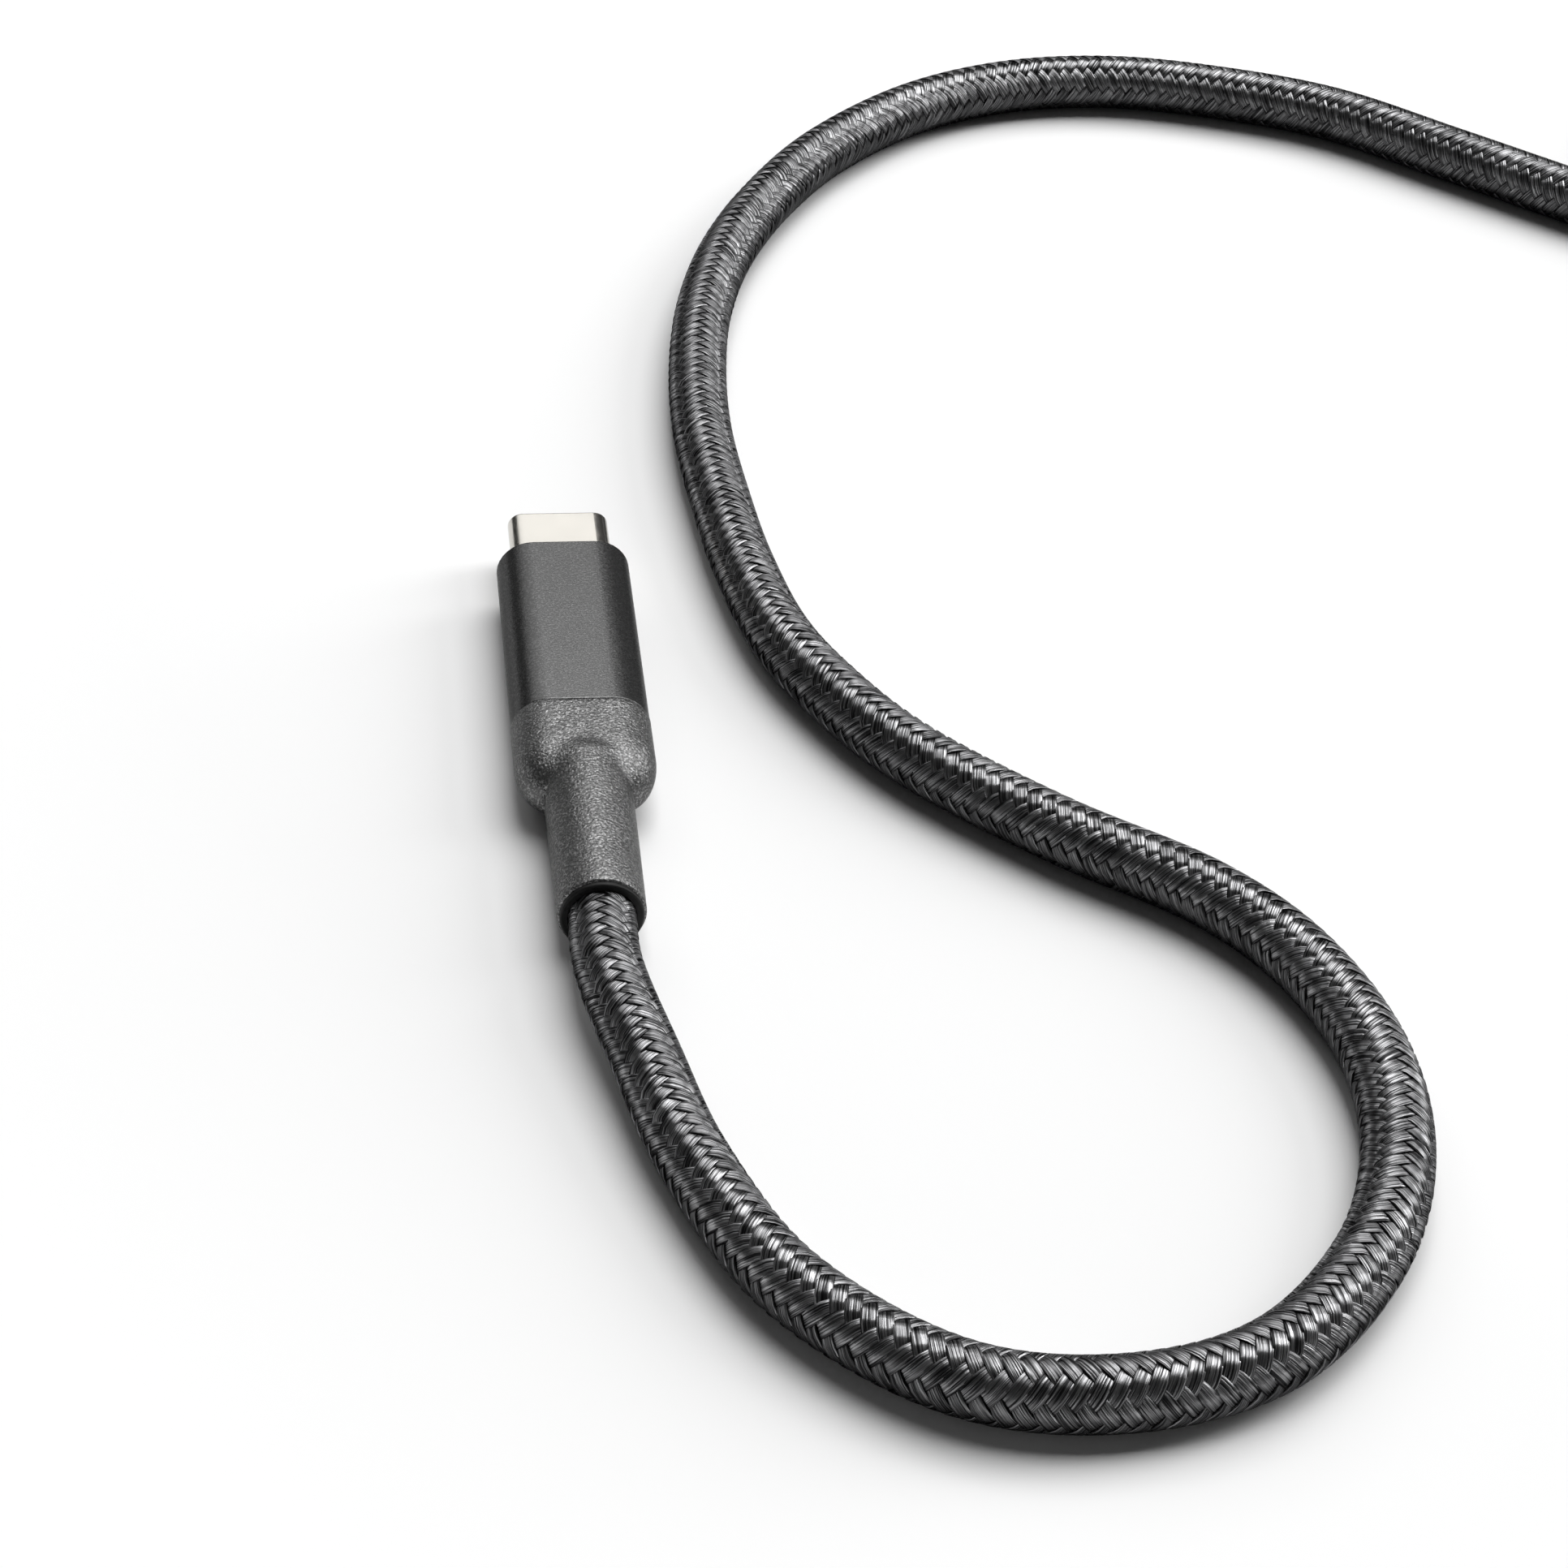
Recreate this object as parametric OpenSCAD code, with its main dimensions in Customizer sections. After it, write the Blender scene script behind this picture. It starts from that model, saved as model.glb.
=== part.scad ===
// A charging cable: a round braided cord with the same reversible plug on each end.
// The near plug lies along Y with its mouth towards +Y, centred on the origin, and the
// cord leaves it at -Y, wanders over the table and ends in a tied coil and the far plug.
//
// Each plug is a stack of real parts. A drawn steel shell holds a moulded insulator with
// its two contact rows, its latch and its ground springs. The contacts are soldered to a
// card, which a two-piece can shields. A ferrule grips the cord's core behind the can, a
// moulding fills the space, and an aluminium housing and a rubber boot cover it all.
//
// Plug parts are drawn in the plug's own frame: Y along the plug, 0 at the end where the
// cord comes out, X across its width, Z through its height, 0 on its centre line.

/* [Steel shell] */
// Outer width of the shell
shell_w = 8.25; // [8.1:0.01:8.4]
// Outer height of the shell
shell_h = 2.4; // [2.35:0.01:2.5]
// Wall of the shell
shell_wall = 0.3; // [0.25:0.01:0.32]
// Length of shell that stands out of the housing
shell_out = 6.6; // [6.2:0.05:7.5]
// Length of shell that is held inside the plug
shell_in = 4.35; // [3.8:0.05:5]
// Radius of the drawn edge round the mouth
shell_edge = 0.22; // [0.1:0.01:0.25]

/* [Aluminium housing] */
// Outer width of the housing
housing_w = 10.8; // [10.5:0.05:12]
// Outer height of the housing
housing_h = 5.8; // [5.6:0.05:6.4]
// Length of the housing
housing_len = 21.25; // [20:0.25:26]
// Wall of the housing over its top and bottom
housing_wall = 0.6; // [0.5:0.01:0.65]
// Thickness of the housing's front wall
front_wall = 0.85; // [0.6:0.05:1.2]
// Radius of the edge round the front wall
front_edge = 0.2; // [0.1:0.01:0.4]

/* [Rubber boot] */
// How far the boot stands proud of the housing, on each side
boot_proud = 0.05; // [0:0.01:0.2]
// Length of the boot's straight part behind the housing
boot_straight = 4.75; // [4:0.25:8]
// Length over which the shoulders round off
shoulder_len = 4.25; // [3.5:0.25:6]
// How far the shoulders round in before they meet the barrel
shoulder_round = 2.4; // [2.1:0.05:2.7]
// Length of the round barrel that guides the cord
barrel_len = 13.75; // [10:0.25:18]
// Diameter of the barrel where it leaves the shoulders
barrel_d = 6.8; // [6.6:0.05:7.2]
// Diameter of the barrel at its end
barrel_end_d = 6.6; // [6.5:0.05:6.6]
// Width of the soft blend between the barrel and the shoulders
boot_blend = 0.8; // [0.4:0.05:0.85]

/* [Cord] */
// Diameter of the braided cord
cord_d = 5.1; // [4.9:0.05:5.2]
// Diameter of the cord's core, without its braid
core_d = 3.6; // [3.2:0.05:3.7]
// Wall of the sleeve that grips the braid inside the barrel
sleeve_wall = 0.38; // [0.3:0.01:0.4]
// How far the sleeve's end flange stands out from the sleeve
flange_step = 0.17; // [0.1:0.01:0.2]
// Thickness of the sleeve's end flange
flange_len = 0.4; // [0.3:0.05:0.8]
// Outer diameter of the crimped ferrule
ferrule_d = 4.1; // [4.05:0.01:4.2]
// Length of the ferrule
ferrule_len = 5.4; // [4:0.1:6]
// Diameter of one insulated conductor
wire_d = 0.6; // [0.4:0.05:0.65]

/* [Contacts and card] */
// Distance from one contact to the next
contact_pitch = 0.5; // [0.45:0.01:0.52]
// Contacts in one row
contact_count = 12; // [2:1:12]
// Width of a contact
contact_w = 0.24; // [0.15:0.01:0.28]
// Thickness of a contact
contact_t = 0.15; // [0.1:0.01:0.16]
// Wall of the insulator on each side of the slot that takes the socket's tongue
tongue_side = 0.445; // [0.4:0.005:0.5]
// Height of the slot that takes the socket's tongue
tongue_h = 1.1; // [0.9:0.02:1.12]
// Depth of the slot that takes the socket's tongue
tongue_depth = 5.9; // [5.4:0.05:6.2]
// Width of the card
card_w = 7.2; // [6:0.1:7.4]
// Length of the card
card_len = 12; // [9:0.25:12.5]
// Thickness of the card
card_t = 0.6; // [0.5:0.02:0.64]
// Side of the square controller chip
chip_side = 2; // [1:0.1:3]

/* [Shield can] */
// Wall of the shield can
can_wall = 0.2; // [0.15:0.01:0.25]
// Length of the shield can
can_len = 18.4; // [17.6:0.1:19]
// Room for the moulding on each side of the shield can
can_room = 0.2; // [0.15:0.01:0.3]

/* [Coil and tie] */
// Radius of the coil's first and widest turn, to the middle of the cord
coil_r = 33; // [30:0.1:36]
// Clear space between one turn and the next
turn_gap = 0.5; // [0.45:0.05:1]
// Width of the tie's strap
tie_w = 12; // [8:0.5:20]
// Thickness of the tie's strap
tie_t = 0.8; // [0.6:0.1:1.5]

/* [Hidden] */
$fn = 48;

// Clearances, each on one side
slip_fit = 0.03;    // a part that slides into another before it is fixed
weld_gap = 0.04;    // between the shell and what goes round it
bore_fit = 0.02;    // a grip on the cord or on its core
mould_gap = 0.05;   // round the moulding
tie_gap = 0.3;      // between the strap and the cord
cut = 0.1;          // how far a cutting shape runs past a face

// Stations along the plug, from the end where the cord comes out
shoulder_end = barrel_len + shoulder_len;
boot_len = shoulder_end + boot_straight;
housing_end = boot_len + housing_len;
plug_len = housing_end + shell_out;
shell_start = housing_end - shell_in;

// Shield can, round the shell
can_w = shell_w + 2 * (weld_gap + can_wall);
can_h = shell_h + 2 * (weld_gap + can_wall);

// Cavity shared by the housing and the boot, filled by the moulding
cavity_in_shoulder = 0.35;  // share of the shoulders' length that it reaches into
cavity_w = can_w + 2 * can_room;
cavity_h = housing_h - 2 * housing_wall;
cavity_start = shoulder_end - cavity_in_shoulder * shoulder_len;
cavity_end = housing_end - front_wall;
boot_w = housing_w + 2 * boot_proud;
boot_h = housing_h + 2 * boot_proud;

// Ends of the shield can, ferrule and cord
can_front_gap = 0.5;
sleeve_overlap = 0.75;  // of the sleeve, past the barrel and into the body
can_end = cavity_end - can_front_gap;
can_start = can_end - can_len;
ferrule_start = can_start - ferrule_len;
core_bore = core_d + 2 * bore_fit;
sleeve_bore = cord_d + 2 * bore_fit;
sleeve_d = sleeve_bore + 2 * sleeve_wall;
flange_d = sleeve_d + 2 * flange_step;
sleeve_len = barrel_len + sleeve_overlap;

// Insulator, inside the shell
insulator_w = shell_w - 2 * (shell_wall + slip_fit);
insulator_h = shell_h - 2 * (shell_wall + slip_fit);
insulator_back = 0.6;    // from the shell's inner end
insulator_front = 0.3;   // from the shell's mouth
insulator_start = shell_start + insulator_back;
insulator_end = plug_len - insulator_front;
tongue_w = insulator_w - 2 * tongue_side;
slot_start = insulator_end - tongue_depth;

// Contacts: heights of the beam above the centre line, and the groove that it lies in
groove_side = slip_fit;
groove_cover = 0.16;     // of insulator over the beams
groove_beyond = 0.2;     // past the beams' ends
beam_depth = 1.8;        // from the insulator's front to the beams' ends
tail_len = 1.8;          // of the contacts, on the card
beam_top = insulator_h / 2 - groove_cover;
beam_end = insulator_end - beam_depth;
groove_end = beam_end + groove_beyond;
groove_top = beam_top + slip_fit;
tail_start = insulator_start - tail_len;

// Ground springs, at the mouth
spring_t = 0.1;
spring_back = 0.15;      // from the contacts' grooves
spring_front = 0.1;      // from the insulator's front
spring_start = groove_end + spring_back;
spring_end = insulator_end - spring_front;
finger_margin = 0.2;     // of plate at both ends of a finger
finger_press = 0.1;      // how far a finger reaches into the tongue's slot
finger_count = 4;
finger_pitch = 1.5;
finger_w = 0.7;

// Latch, a flat spring in the middle plane
latch_t = 0.24;
latch_arm = 0.25;
latch_hook = 0.3;
latch_bar = 0.7;
latch_back = 0.6;        // from the insulator's inner end to the latch's bar
latch_depth = 2.1;       // from the insulator's front to the tips of the latch
hook_len = 0.8;
latch_start = insulator_start + latch_back;
latch_end = insulator_end - latch_depth;

// Card and what is soldered to it
card_start = insulator_start - card_len;
chip_h = 0.55;
small_chip = [1.6, 1.1, 0.5];
passive = [0.6, 0.3, 0.3];
passive_gap = 0.8;       // from the controller's side to a small part's middle
wire_pitch = 1;
wire_on_card = 2.2;

// Coil: a spiral inwards on the table, then outwards on top of it
cord_z = cord_d / 2;
coil_centre = [144, 84];
coil_start_angle = 230;
coil_exit_angle = 540;  // past one full turn, where the cord heads along -Y
turn_step = cord_d + turn_gap;
lower_turns = 1 + (coil_exit_angle - coil_start_angle) / 360;
upper_turns = 1;
inner_r = coil_r - turn_step * lower_turns;
exit_r = inner_r + turn_step * upper_turns;
coil_turns = lower_turns + upper_turns;
climb_turns = 0.5;
rings_per_turn = 24;
coil_sides = 6;
tie_angle = 45;
tie_lift = tie_t + tie_gap;
lift_reach = 45;

// Near plug on the table, and the far plug beside the coil
axis_z = barrel_d / 2;
near_exit = [0, -plug_len / 2, axis_z];
far_exit = [coil_centre[0] - exit_r, 30, axis_z];

// The cord's middle line on the table, from the near plug to the coil
run_points = [
    near_exit,
    near_exit + [0, -cord_d, 0],
    [2, -40, 3],
    [4.5, -50, cord_z],
    [10, -62, cord_z],
    [20, -70.5, cord_z],
    [30, -72, cord_z],
    [40, -69, cord_z],
    [48.5, -60, cord_z],
    [52.5, -50, cord_z],
    [53, -40, cord_z],
    [50, -30, cord_z],
    [45, -23, cord_z],
    [35, -15, cord_z],
    [25, -5, cord_z],
    [20, 3, cord_z],
    [17, 10, cord_z],
    [15, 20, cord_z],
    [14, 30, cord_z],
    [13.5, 40, cord_z],
    [14, 50, cord_z],
    [15.5, 60, cord_z],
    [18.5, 70, cord_z],
    [23.5, 80, cord_z],
    [30, 89, cord_z],
    [40, 97.5, cord_z],
    [50, 101.5, cord_z],
    [60, 102, cord_z],
    [70, 99.5, cord_z],
    [80, 95, cord_z],
    [90, 86.5, cord_z],
    [99, 78.5, cord_z],
    [109, 70, cord_z]
];

run_sides = 10;

// Smooth step from 0 to 1 as t goes from 0 to 1
function ease(t) = let (u = min(1, max(0, t))) u * u * (3 - 2 * u);
function unit(v) = v / norm(v);

// Larger of two lengths, with a soft blend where they are nearly equal
function soft_max(a, b, blend) =
    max(a, b) + (abs(a - b) < blend ? blend / 4 * pow(1 - abs(a - b) / blend, 2) : 0);

// Distance from the middle of a slot shape to its edge, in direction a
function slot_reach(a, half_flat, r) =
    let (side = abs(r * cos(a)) - abs(half_flat * sin(a)))
    side < 0 ? r / abs(sin(a)) : half_flat * abs(cos(a)) + sqrt(r * r - pow(half_flat * sin(a), 2));

// The coil's middle line: its radius, angle, lift over the tie and height after some turns
function angle_gap(a, b) = let (d = (a - b) % 360) min(abs(d), 360 - abs(d));
function coil_radius(turn) =
    turn < lower_turns ? coil_r - turn_step * turn : inner_r + turn_step * (turn - lower_turns);
function coil_angle(turn) = coil_start_angle + 360 * turn;
function coil_lift(turn) = tie_lift * ease(1 - angle_gap(coil_angle(turn), tie_angle) / lift_reach);
function coil_height(turn) =
    cord_z + coil_lift(turn) + turn_step * ease((turn - lower_turns) / climb_turns + 0.5);
function coil_point(turn) = [
    coil_centre[0] + coil_radius(turn) * cos(coil_angle(turn)),
    coil_centre[1] + coil_radius(turn) * sin(coil_angle(turn)),
    coil_height(turn)
];
coil_start = coil_point(0);
coil_end = coil_point(coil_turns);
coil_steps = ceil(coil_turns * rings_per_turn);
coil_path = concat(
    [coil_start - cord_d * unit(coil_point(0.01) - coil_start)],
    [for (i = [0 : coil_steps]) coil_point(i * coil_turns / coil_steps)],
    [coil_end + [0, -cord_d, 0]]
);
run_path = concat(run_points, [coil_path[0]]);

// The cord's middle line from the coil down to the far plug, over the first stretch
lead_points = [
    coil_end + [0, -cord_d, 0],
    [far_exit[0], 68, cord_z + turn_step],
    [far_exit[0], 59, cord_z + turn_step],
    [far_exit[0], 51, cord_z + 0.75 * turn_step],
    [far_exit[0], 43, cord_z + 0.35 * turn_step],
    far_exit + [0, cord_d, 0],
    far_exit
];

// Length of a path, from point i - 1 on
function path_length(p, i = 1) = i < len(p) ? norm(p[i] - p[i - 1]) + path_length(p, i + 1) : 0;

// Least gap between stretches of the coil that are more than half a turn apart
coil_gap = min([
    for (i = [0 : len(coil_path) - 1])
        for (j = [i + rings_per_turn / 2 : 1 : len(coil_path) - 1])
            norm(coil_path[i] - coil_path[j])
]) - cord_d;
echo(coil_least_gap = coil_gap);
echo(run_length = path_length(run_path), coil_length = path_length(coil_path));
echo(lead_length = path_length(lead_points));

// A tube of round rings along a path, one ring square to the path at each point
function heading(p, i) =
    i == 0 ? unit(p[1] - p[0])
    : i == len(p) - 1 ? unit(p[i] - p[i - 1])
    : unit(unit(p[i + 1] - p[i]) + unit(p[i] - p[i - 1]));
function ring(centre, along, r, sides) =
    let (
        right = unit(cross(along, [0, 0, 1])),
        up = cross(right, along)
    )
    [for (k = [0 : sides - 1])
        let (a = 270 + 360 * k / sides)
        centre + r * (cos(a) * right + sin(a) * up)];
module tube(path, d, sides) {
    skin([for (i = [0 : len(path) - 1]) ring(path[i], heading(path, i), d / 2, sides)]);
}
// A closed solid through a row of rings, each with the same number of points
module skin(rings) {
    sides = len(rings[0]);
    end = (len(rings) - 1) * sides;
    walls = [
        for (start = [0 : sides : end - sides])
            for (k = [0 : sides - 1])
                let (
                    a = start + k,
                    b = start + (k + 1) % sides
                )
                each [[a, b, b + sides], [a, b + sides, a + sides]]
    ];
    first_cap = [for (k = [1 : sides - 2]) [0, k + 1, k]];
    last_cap = [for (k = [1 : sides - 2]) [end, end + k, end + k + 1]];
    polyhedron([for (r = rings) each r], concat(walls, first_cap, last_cap));
}

// Flat shapes in X and Z, and solids along Y
module slot_shape(w, h) {
    square([w - h, h], center = true);
    for (side = [-1, 1])
        translate([side * (w - h) / 2, 0])
            circle(d = h);
}
module along_y(start, end) {
    translate([0, end, 0])
        rotate([90, 0, 0])
            linear_extrude(height = end - start)
                children();
}
module rod(d, start, end) {
    along_y(start, end)
        circle(d = d);
}
module slot_rod(w, h, start, end) {
    along_y(start, end)
        slot_shape(w, h);
}
module block(w, h, start, end) {
    translate([-w / 2, start, -h / 2])
        cube([w, end - start, h]);
}

// A solid with slot-shaped sections, from half of its side outline: points [reach, y]
module slot_solid(half_flat, outline) {
    for (side = [-1, 1])
        translate([side * half_flat, 0, 0])
            rotate([-90, 0, 0])
                rotate_extrude()
                    polygon(outline);
    rotate([90, 0, 90])
        translate([0, 0, -half_flat])
            linear_extrude(height = 2 * half_flat)
                for (side = [0, 1])
                    mirror([0, side])
                        polygon([for (p = outline) [p[1], p[0]]]);
}
// A side outline with a rounded edge at its far end
function round_end(r, start, end, edge) = concat(
    [[0, start], [r, start]],
    [for (a = [0 : 15 : 90]) [r - edge + edge * cos(a), end - edge + edge * sin(a)]],
    [[0, end]]
);

module shell() {
    color("gainsboro")
        difference() {
            slot_solid(
                (shell_w - shell_h) / 2,
                round_end(shell_h / 2, shell_start, plug_len, shell_edge)
            );
            slot_rod(
                shell_w - 2 * shell_wall, shell_h - 2 * shell_wall,
                shell_start - cut, plug_len + cut
            );
        }
}

// Places of the contacts across the plug
function row(count, pitch) = [for (i = [0 : count - 1]) (i - (count - 1) / 2) * pitch];

module insulator() {
    color("dimgray")
        difference() {
            slot_rod(insulator_w, insulator_h, insulator_start, insulator_end);
            block(tongue_w, tongue_h, slot_start, insulator_end + cut);
            for (x = row(contact_count, contact_pitch))
                for (side = [0, 1])
                    mirror([0, 0, side])
                        translate([x, 0, 0])
                            contact_groove();
            latch_slots();
            for (side = [0, 1])
                mirror([0, 0, side])
                    spring_recess();
        }
}
module contact_groove() {
    translate([-contact_w / 2 - groove_side, insulator_start - cut, card_t / 2 - slip_fit])
        cube([
            contact_w + 2 * groove_side,
            groove_end - insulator_start + cut,
            groove_top - card_t / 2 + slip_fit
        ]);
}
module latch_slots() {
    slot_t = latch_t + 2 * slip_fit;
    outer = tongue_w + 2 * (latch_arm + slip_fit);
    block(outer, slot_t, insulator_start - cut, latch_start + latch_bar + slip_fit);
    for (side = [0, 1])
        mirror([side, 0, 0])
            translate([tongue_w / 2 - slip_fit, insulator_start, -slot_t / 2])
                cube([latch_arm + 2 * slip_fit, latch_end - insulator_start + slip_fit, slot_t]);
}
module spring_recess() {
    reach = finger_count * finger_pitch;
    translate([-reach / 2, spring_start - slip_fit, insulator_h / 2 - spring_t - slip_fit])
        cube([reach, spring_end - spring_start + 2 * slip_fit, spring_t + 2 * cut]);
    for (x = row(finger_count, finger_pitch))
        translate([x - finger_w / 2 - slip_fit, spring_start + cut, 0])
            cube([finger_w + 2 * slip_fit, spring_end - spring_start - 2 * cut, insulator_h / 2]);
}

// One contact: a tail on the card, a beam in its groove and a bent tip in the slot
module contact() {
    low = card_t / 2;
    tip_z = tongue_h / 2 - 0.2;     // the bend that presses on the tongue
    rise = insulator_start + 0.2;   // where the tail rises to the beam
    risen = rise + 0.6;
    dip = beam_end - 1.6;           // where the beam dips to its bend
    bend = beam_end - 0.8;
    lip = beam_end - 0.5;           // where the bend turns up to the lip
    lip_up = 0.2;
    beam = beam_top - contact_t;
    translate([-contact_w / 2, 0, 0])
        rotate([90, 0, 90])
            linear_extrude(height = contact_w)
                polygon([
                    [tail_start, low],
                    [rise, low],
                    [risen, beam],
                    [dip, beam],
                    [bend, tip_z],
                    [lip, tip_z],
                    [beam_end, tip_z + lip_up],
                    [beam_end, tip_z + lip_up + contact_t],
                    [lip, tip_z + contact_t],
                    [bend, tip_z + contact_t],
                    [dip, beam_top],
                    [risen, beam_top],
                    [rise, low + contact_t],
                    [tail_start, low + contact_t]
                ]);
}
module contacts() {
    color("goldenrod")
        for (x = row(contact_count, contact_pitch))
            translate([x, 0, 0])
                contact();
}
module contacts_upper() {
    contacts();
}
module contacts_lower() {
    mirror([0, 0, 1])
        contacts();
}

// Two sprung plates over and under the mouth, with fingers that press on the socket
module ground_springs() {
    reach = finger_count * finger_pitch - 2 * slip_fit;
    color("silver")
        for (side = [0, 1])
            mirror([0, 0, side]) {
                translate([-reach / 2, spring_start, insulator_h / 2 - spring_t])
                    cube([reach, spring_end - spring_start, spring_t]);
                for (x = row(finger_count, finger_pitch))
                    translate([
                        x - finger_w / 2, spring_start + finger_margin, tongue_h / 2 - finger_press
                    ])
                        cube([
                            finger_w,
                            spring_end - spring_start - 2 * finger_margin,
                            insulator_h / 2 - tongue_h / 2 + finger_press
                        ]);
            }
}

// A flat U of spring steel whose hooks catch the socket's tongue
module latch() {
    color("silver") {
        block(tongue_w + 2 * latch_arm, latch_t, latch_start, latch_start + latch_bar);
        for (side = [0, 1])
            mirror([side, 0, 0])
                translate([tongue_w / 2, 0, -latch_t / 2]) {
                    translate([0, latch_start, 0])
                        cube([latch_arm, latch_end - latch_start, latch_t]);
                    translate([-latch_hook, latch_end - hook_len, 0])
                        cube([latch_hook, hook_len, latch_t]);
                }
    }
}

module card() {
    notch = 1.2;
    color("darkgreen")
        difference() {
            block(card_w, card_t, card_start, insulator_start);
            for (side = [-1, 1])
                translate([side * card_w / 2, card_start, 0])
                    cube([2 * notch, 2 * notch, card_t + 2 * cut], center = true);
        }
}

// The controller chip and the small parts round it
module chips() {
    middle = card_start + 0.55 * card_len;
    color("black") {
        translate([0, middle, card_t / 2])
            chip([chip_side, chip_side, chip_h]);
        translate([0, middle, -card_t / 2 - small_chip[2]])
            chip(small_chip);
        for (x = [-1, 1])
            for (y = [-1, 1])
                translate([x * (chip_side / 2 + passive_gap), middle + y, card_t / 2])
                    chip(passive);
    }
}
module chip(size) {
    translate([-size[0] / 2, -size[1] / 2, 0])
        cube(size);
}

// Half of the stamped can: a half tube with a rear wall and a window for the wires
module can_half() {
    window_side = 0.2;
    window_w = 2 * wire_pitch + wire_d + 2 * window_side;
    window_h = card_t + 2 * wire_d + 2 * mould_gap;
    difference() {
        slot_rod(can_w, can_h, can_start, can_end);
        slot_rod(
            can_w - 2 * can_wall, can_h - 2 * can_wall,
            can_start + can_wall, can_end + cut
        );
        block(window_w, window_h, can_start - cut, can_start + can_wall + cut);
        translate([-can_w, can_start - cut, -can_h])
            cube([2 * can_w, can_len + 2 * cut, can_h]);
    }
}
module can_upper() {
    color("lightgray")
        can_half();
}
module can_lower() {
    color("lightgray")
        mirror([0, 0, 1])
            can_half();
}

module wires() {
    color("firebrick")
        for (x = row(3, wire_pitch))
            for (side = [-1, 1])
                translate([x, 0, side * (card_t + wire_d) / 2])
                    rod(wire_d, can_start, card_start + wire_on_card);
}

// A crimped ring with rolled grooves
module ferrule() {
    r = ferrule_d / 2;
    groove = 0.12;
    grooves = 3;
    pitch = ferrule_len / (grooves + 1);
    color("silver")
        difference() {
            rod(ferrule_d, ferrule_start, can_start);
            rod(core_bore, ferrule_start - cut, can_start + cut);
            for (i = [1 : grooves])
                translate([0, ferrule_start + i * pitch, 0])
                    rotate([90, 0, 0])
                        rotate_extrude()
                            translate([r + groove, 0])
                                circle(r = 2 * groove, $fn = 24);
        }
}

module core() {
    color("white")
        rod(core_d, sleeve_len, can_start);
}

module mould() {
    color("ivory")
        difference() {
            slot_rod(
                cavity_w - 2 * mould_gap, cavity_h - 2 * mould_gap,
                cavity_start + mould_gap, cavity_end - mould_gap
            );
            slot_rod(
                can_w + 2 * bore_fit, can_h + 2 * bore_fit,
                can_start - bore_fit, cavity_end + cut
            );
            rod(ferrule_d + 2 * bore_fit, ferrule_start - bore_fit, can_start + cut);
            rod(core_bore, cavity_start - cut, can_start);
        }
}

module housing() {
    color("dimgray")
        difference() {
            slot_solid(
                (housing_w - housing_h) / 2,
                round_end(housing_h / 2, boot_len, housing_end, front_edge)
            );
            slot_rod(cavity_w, cavity_h, boot_len - cut, cavity_end);
            slot_rod(
                shell_w + 2 * weld_gap, shell_h + 2 * weld_gap,
                cavity_end - cut, housing_end + cut
            );
        }
}

// A smooth sleeve round the braid, with a rounded flange that shows behind the barrel
module sleeve() {
    edge = 0.2;
    r = flange_d / 2;
    color("black")
        rotate([-90, 0, 0])
            rotate_extrude()
                polygon(concat(
                    [[sleeve_bore / 2, 0]],
                    [for (a = [-90 : 15 : 0]) [r - edge + edge * cos(a), edge + edge * sin(a)]],
                    [
                        [r, flange_len],
                        [sleeve_d / 2, flange_len],
                        [sleeve_d / 2, sleeve_len],
                        [sleeve_bore / 2, sleeve_len]
                    ]
                ));
}

module braid_end() {
    color("dimgray")
        rod(cord_d, 0, sleeve_len);
}

// Boot: a slot-shaped body with rounded shoulders that flows into the round barrel
ridge_step = 2.25;       // of full barrel between the shoulders, before it sinks into them
ridge_fall = 3;          // length over which it sinks
ridge_start = barrel_len + ridge_step;
ridge_sink = boot_blend + 0.1;
end_round = 0.2;
boot_sides = 40;
boot_stations = concat(
    [for (a = [0 : 30 : 90]) flange_len + end_round * (1 - cos(a))],
    [barrel_len / 2, barrel_len],
    [for (a = [75 : -12.5 : 0]) shoulder_end - shoulder_len * sin(a)],
    [for (i = [1 : 4]) shoulder_end + boot_straight * i / 4]
);
function barrel_reach(y) =
    let (
        taper = (barrel_end_d + (barrel_d - barrel_end_d) * min(1, y / barrel_len)) / 2,
        near_end = max(0, 1 - (y - flange_len) / end_round),
        rounding = end_round * (1 - sqrt(1 - near_end * near_end)),
        sunk = boot_h / 2 - ridge_sink,
        fade = ease((y - ridge_start) / ridge_fall)
    )
    (taper - rounding) * (1 - fade) + sunk * fade;
function shoulder_drop(y) =
    let (t = min(1, max(0, (shoulder_end - y) / shoulder_len)))
    shoulder_round * (1 - sqrt(1 - t * t));
function boot_reach(y, a) =
    y <= barrel_len ? barrel_reach(y)
    : soft_max(
        slot_reach(a, (boot_w - boot_h) / 2, boot_h / 2 - shoulder_drop(y)),
        barrel_reach(y), boot_blend
    );
module boot_body() {
    skin([
        for (y = boot_stations)
            [for (k = [0 : boot_sides - 1])
                let (
                    a = 360 * k / boot_sides,
                    r = boot_reach(y, a)
                )
                [r * cos(a), y, r * sin(a)]]
    ]);
}
module boot() {
    color("darkslategray")
        difference() {
            boot_body();
            rod(sleeve_d + 2 * bore_fit, 0, sleeve_len + bore_fit);
            rod(core_bore, sleeve_len - cut, boot_len);
            slot_rod(cavity_w, cavity_h, cavity_start, boot_len + cut);
        }
}

module near() {
    translate(near_exit)
        children();
}
module far() {
    translate(far_exit)
        rotate([0, 0, 180])
            children();
}

module cord_run() {
    color("dimgray")
        tube(run_path, cord_d, run_sides);
}
module cord_coil() {
    color("dimgray")
        tube(coil_path, cord_d, coil_sides);
}
module cord_lead() {
    color("dimgray")
        tube(lead_points, cord_d, run_sides);
}

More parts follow.
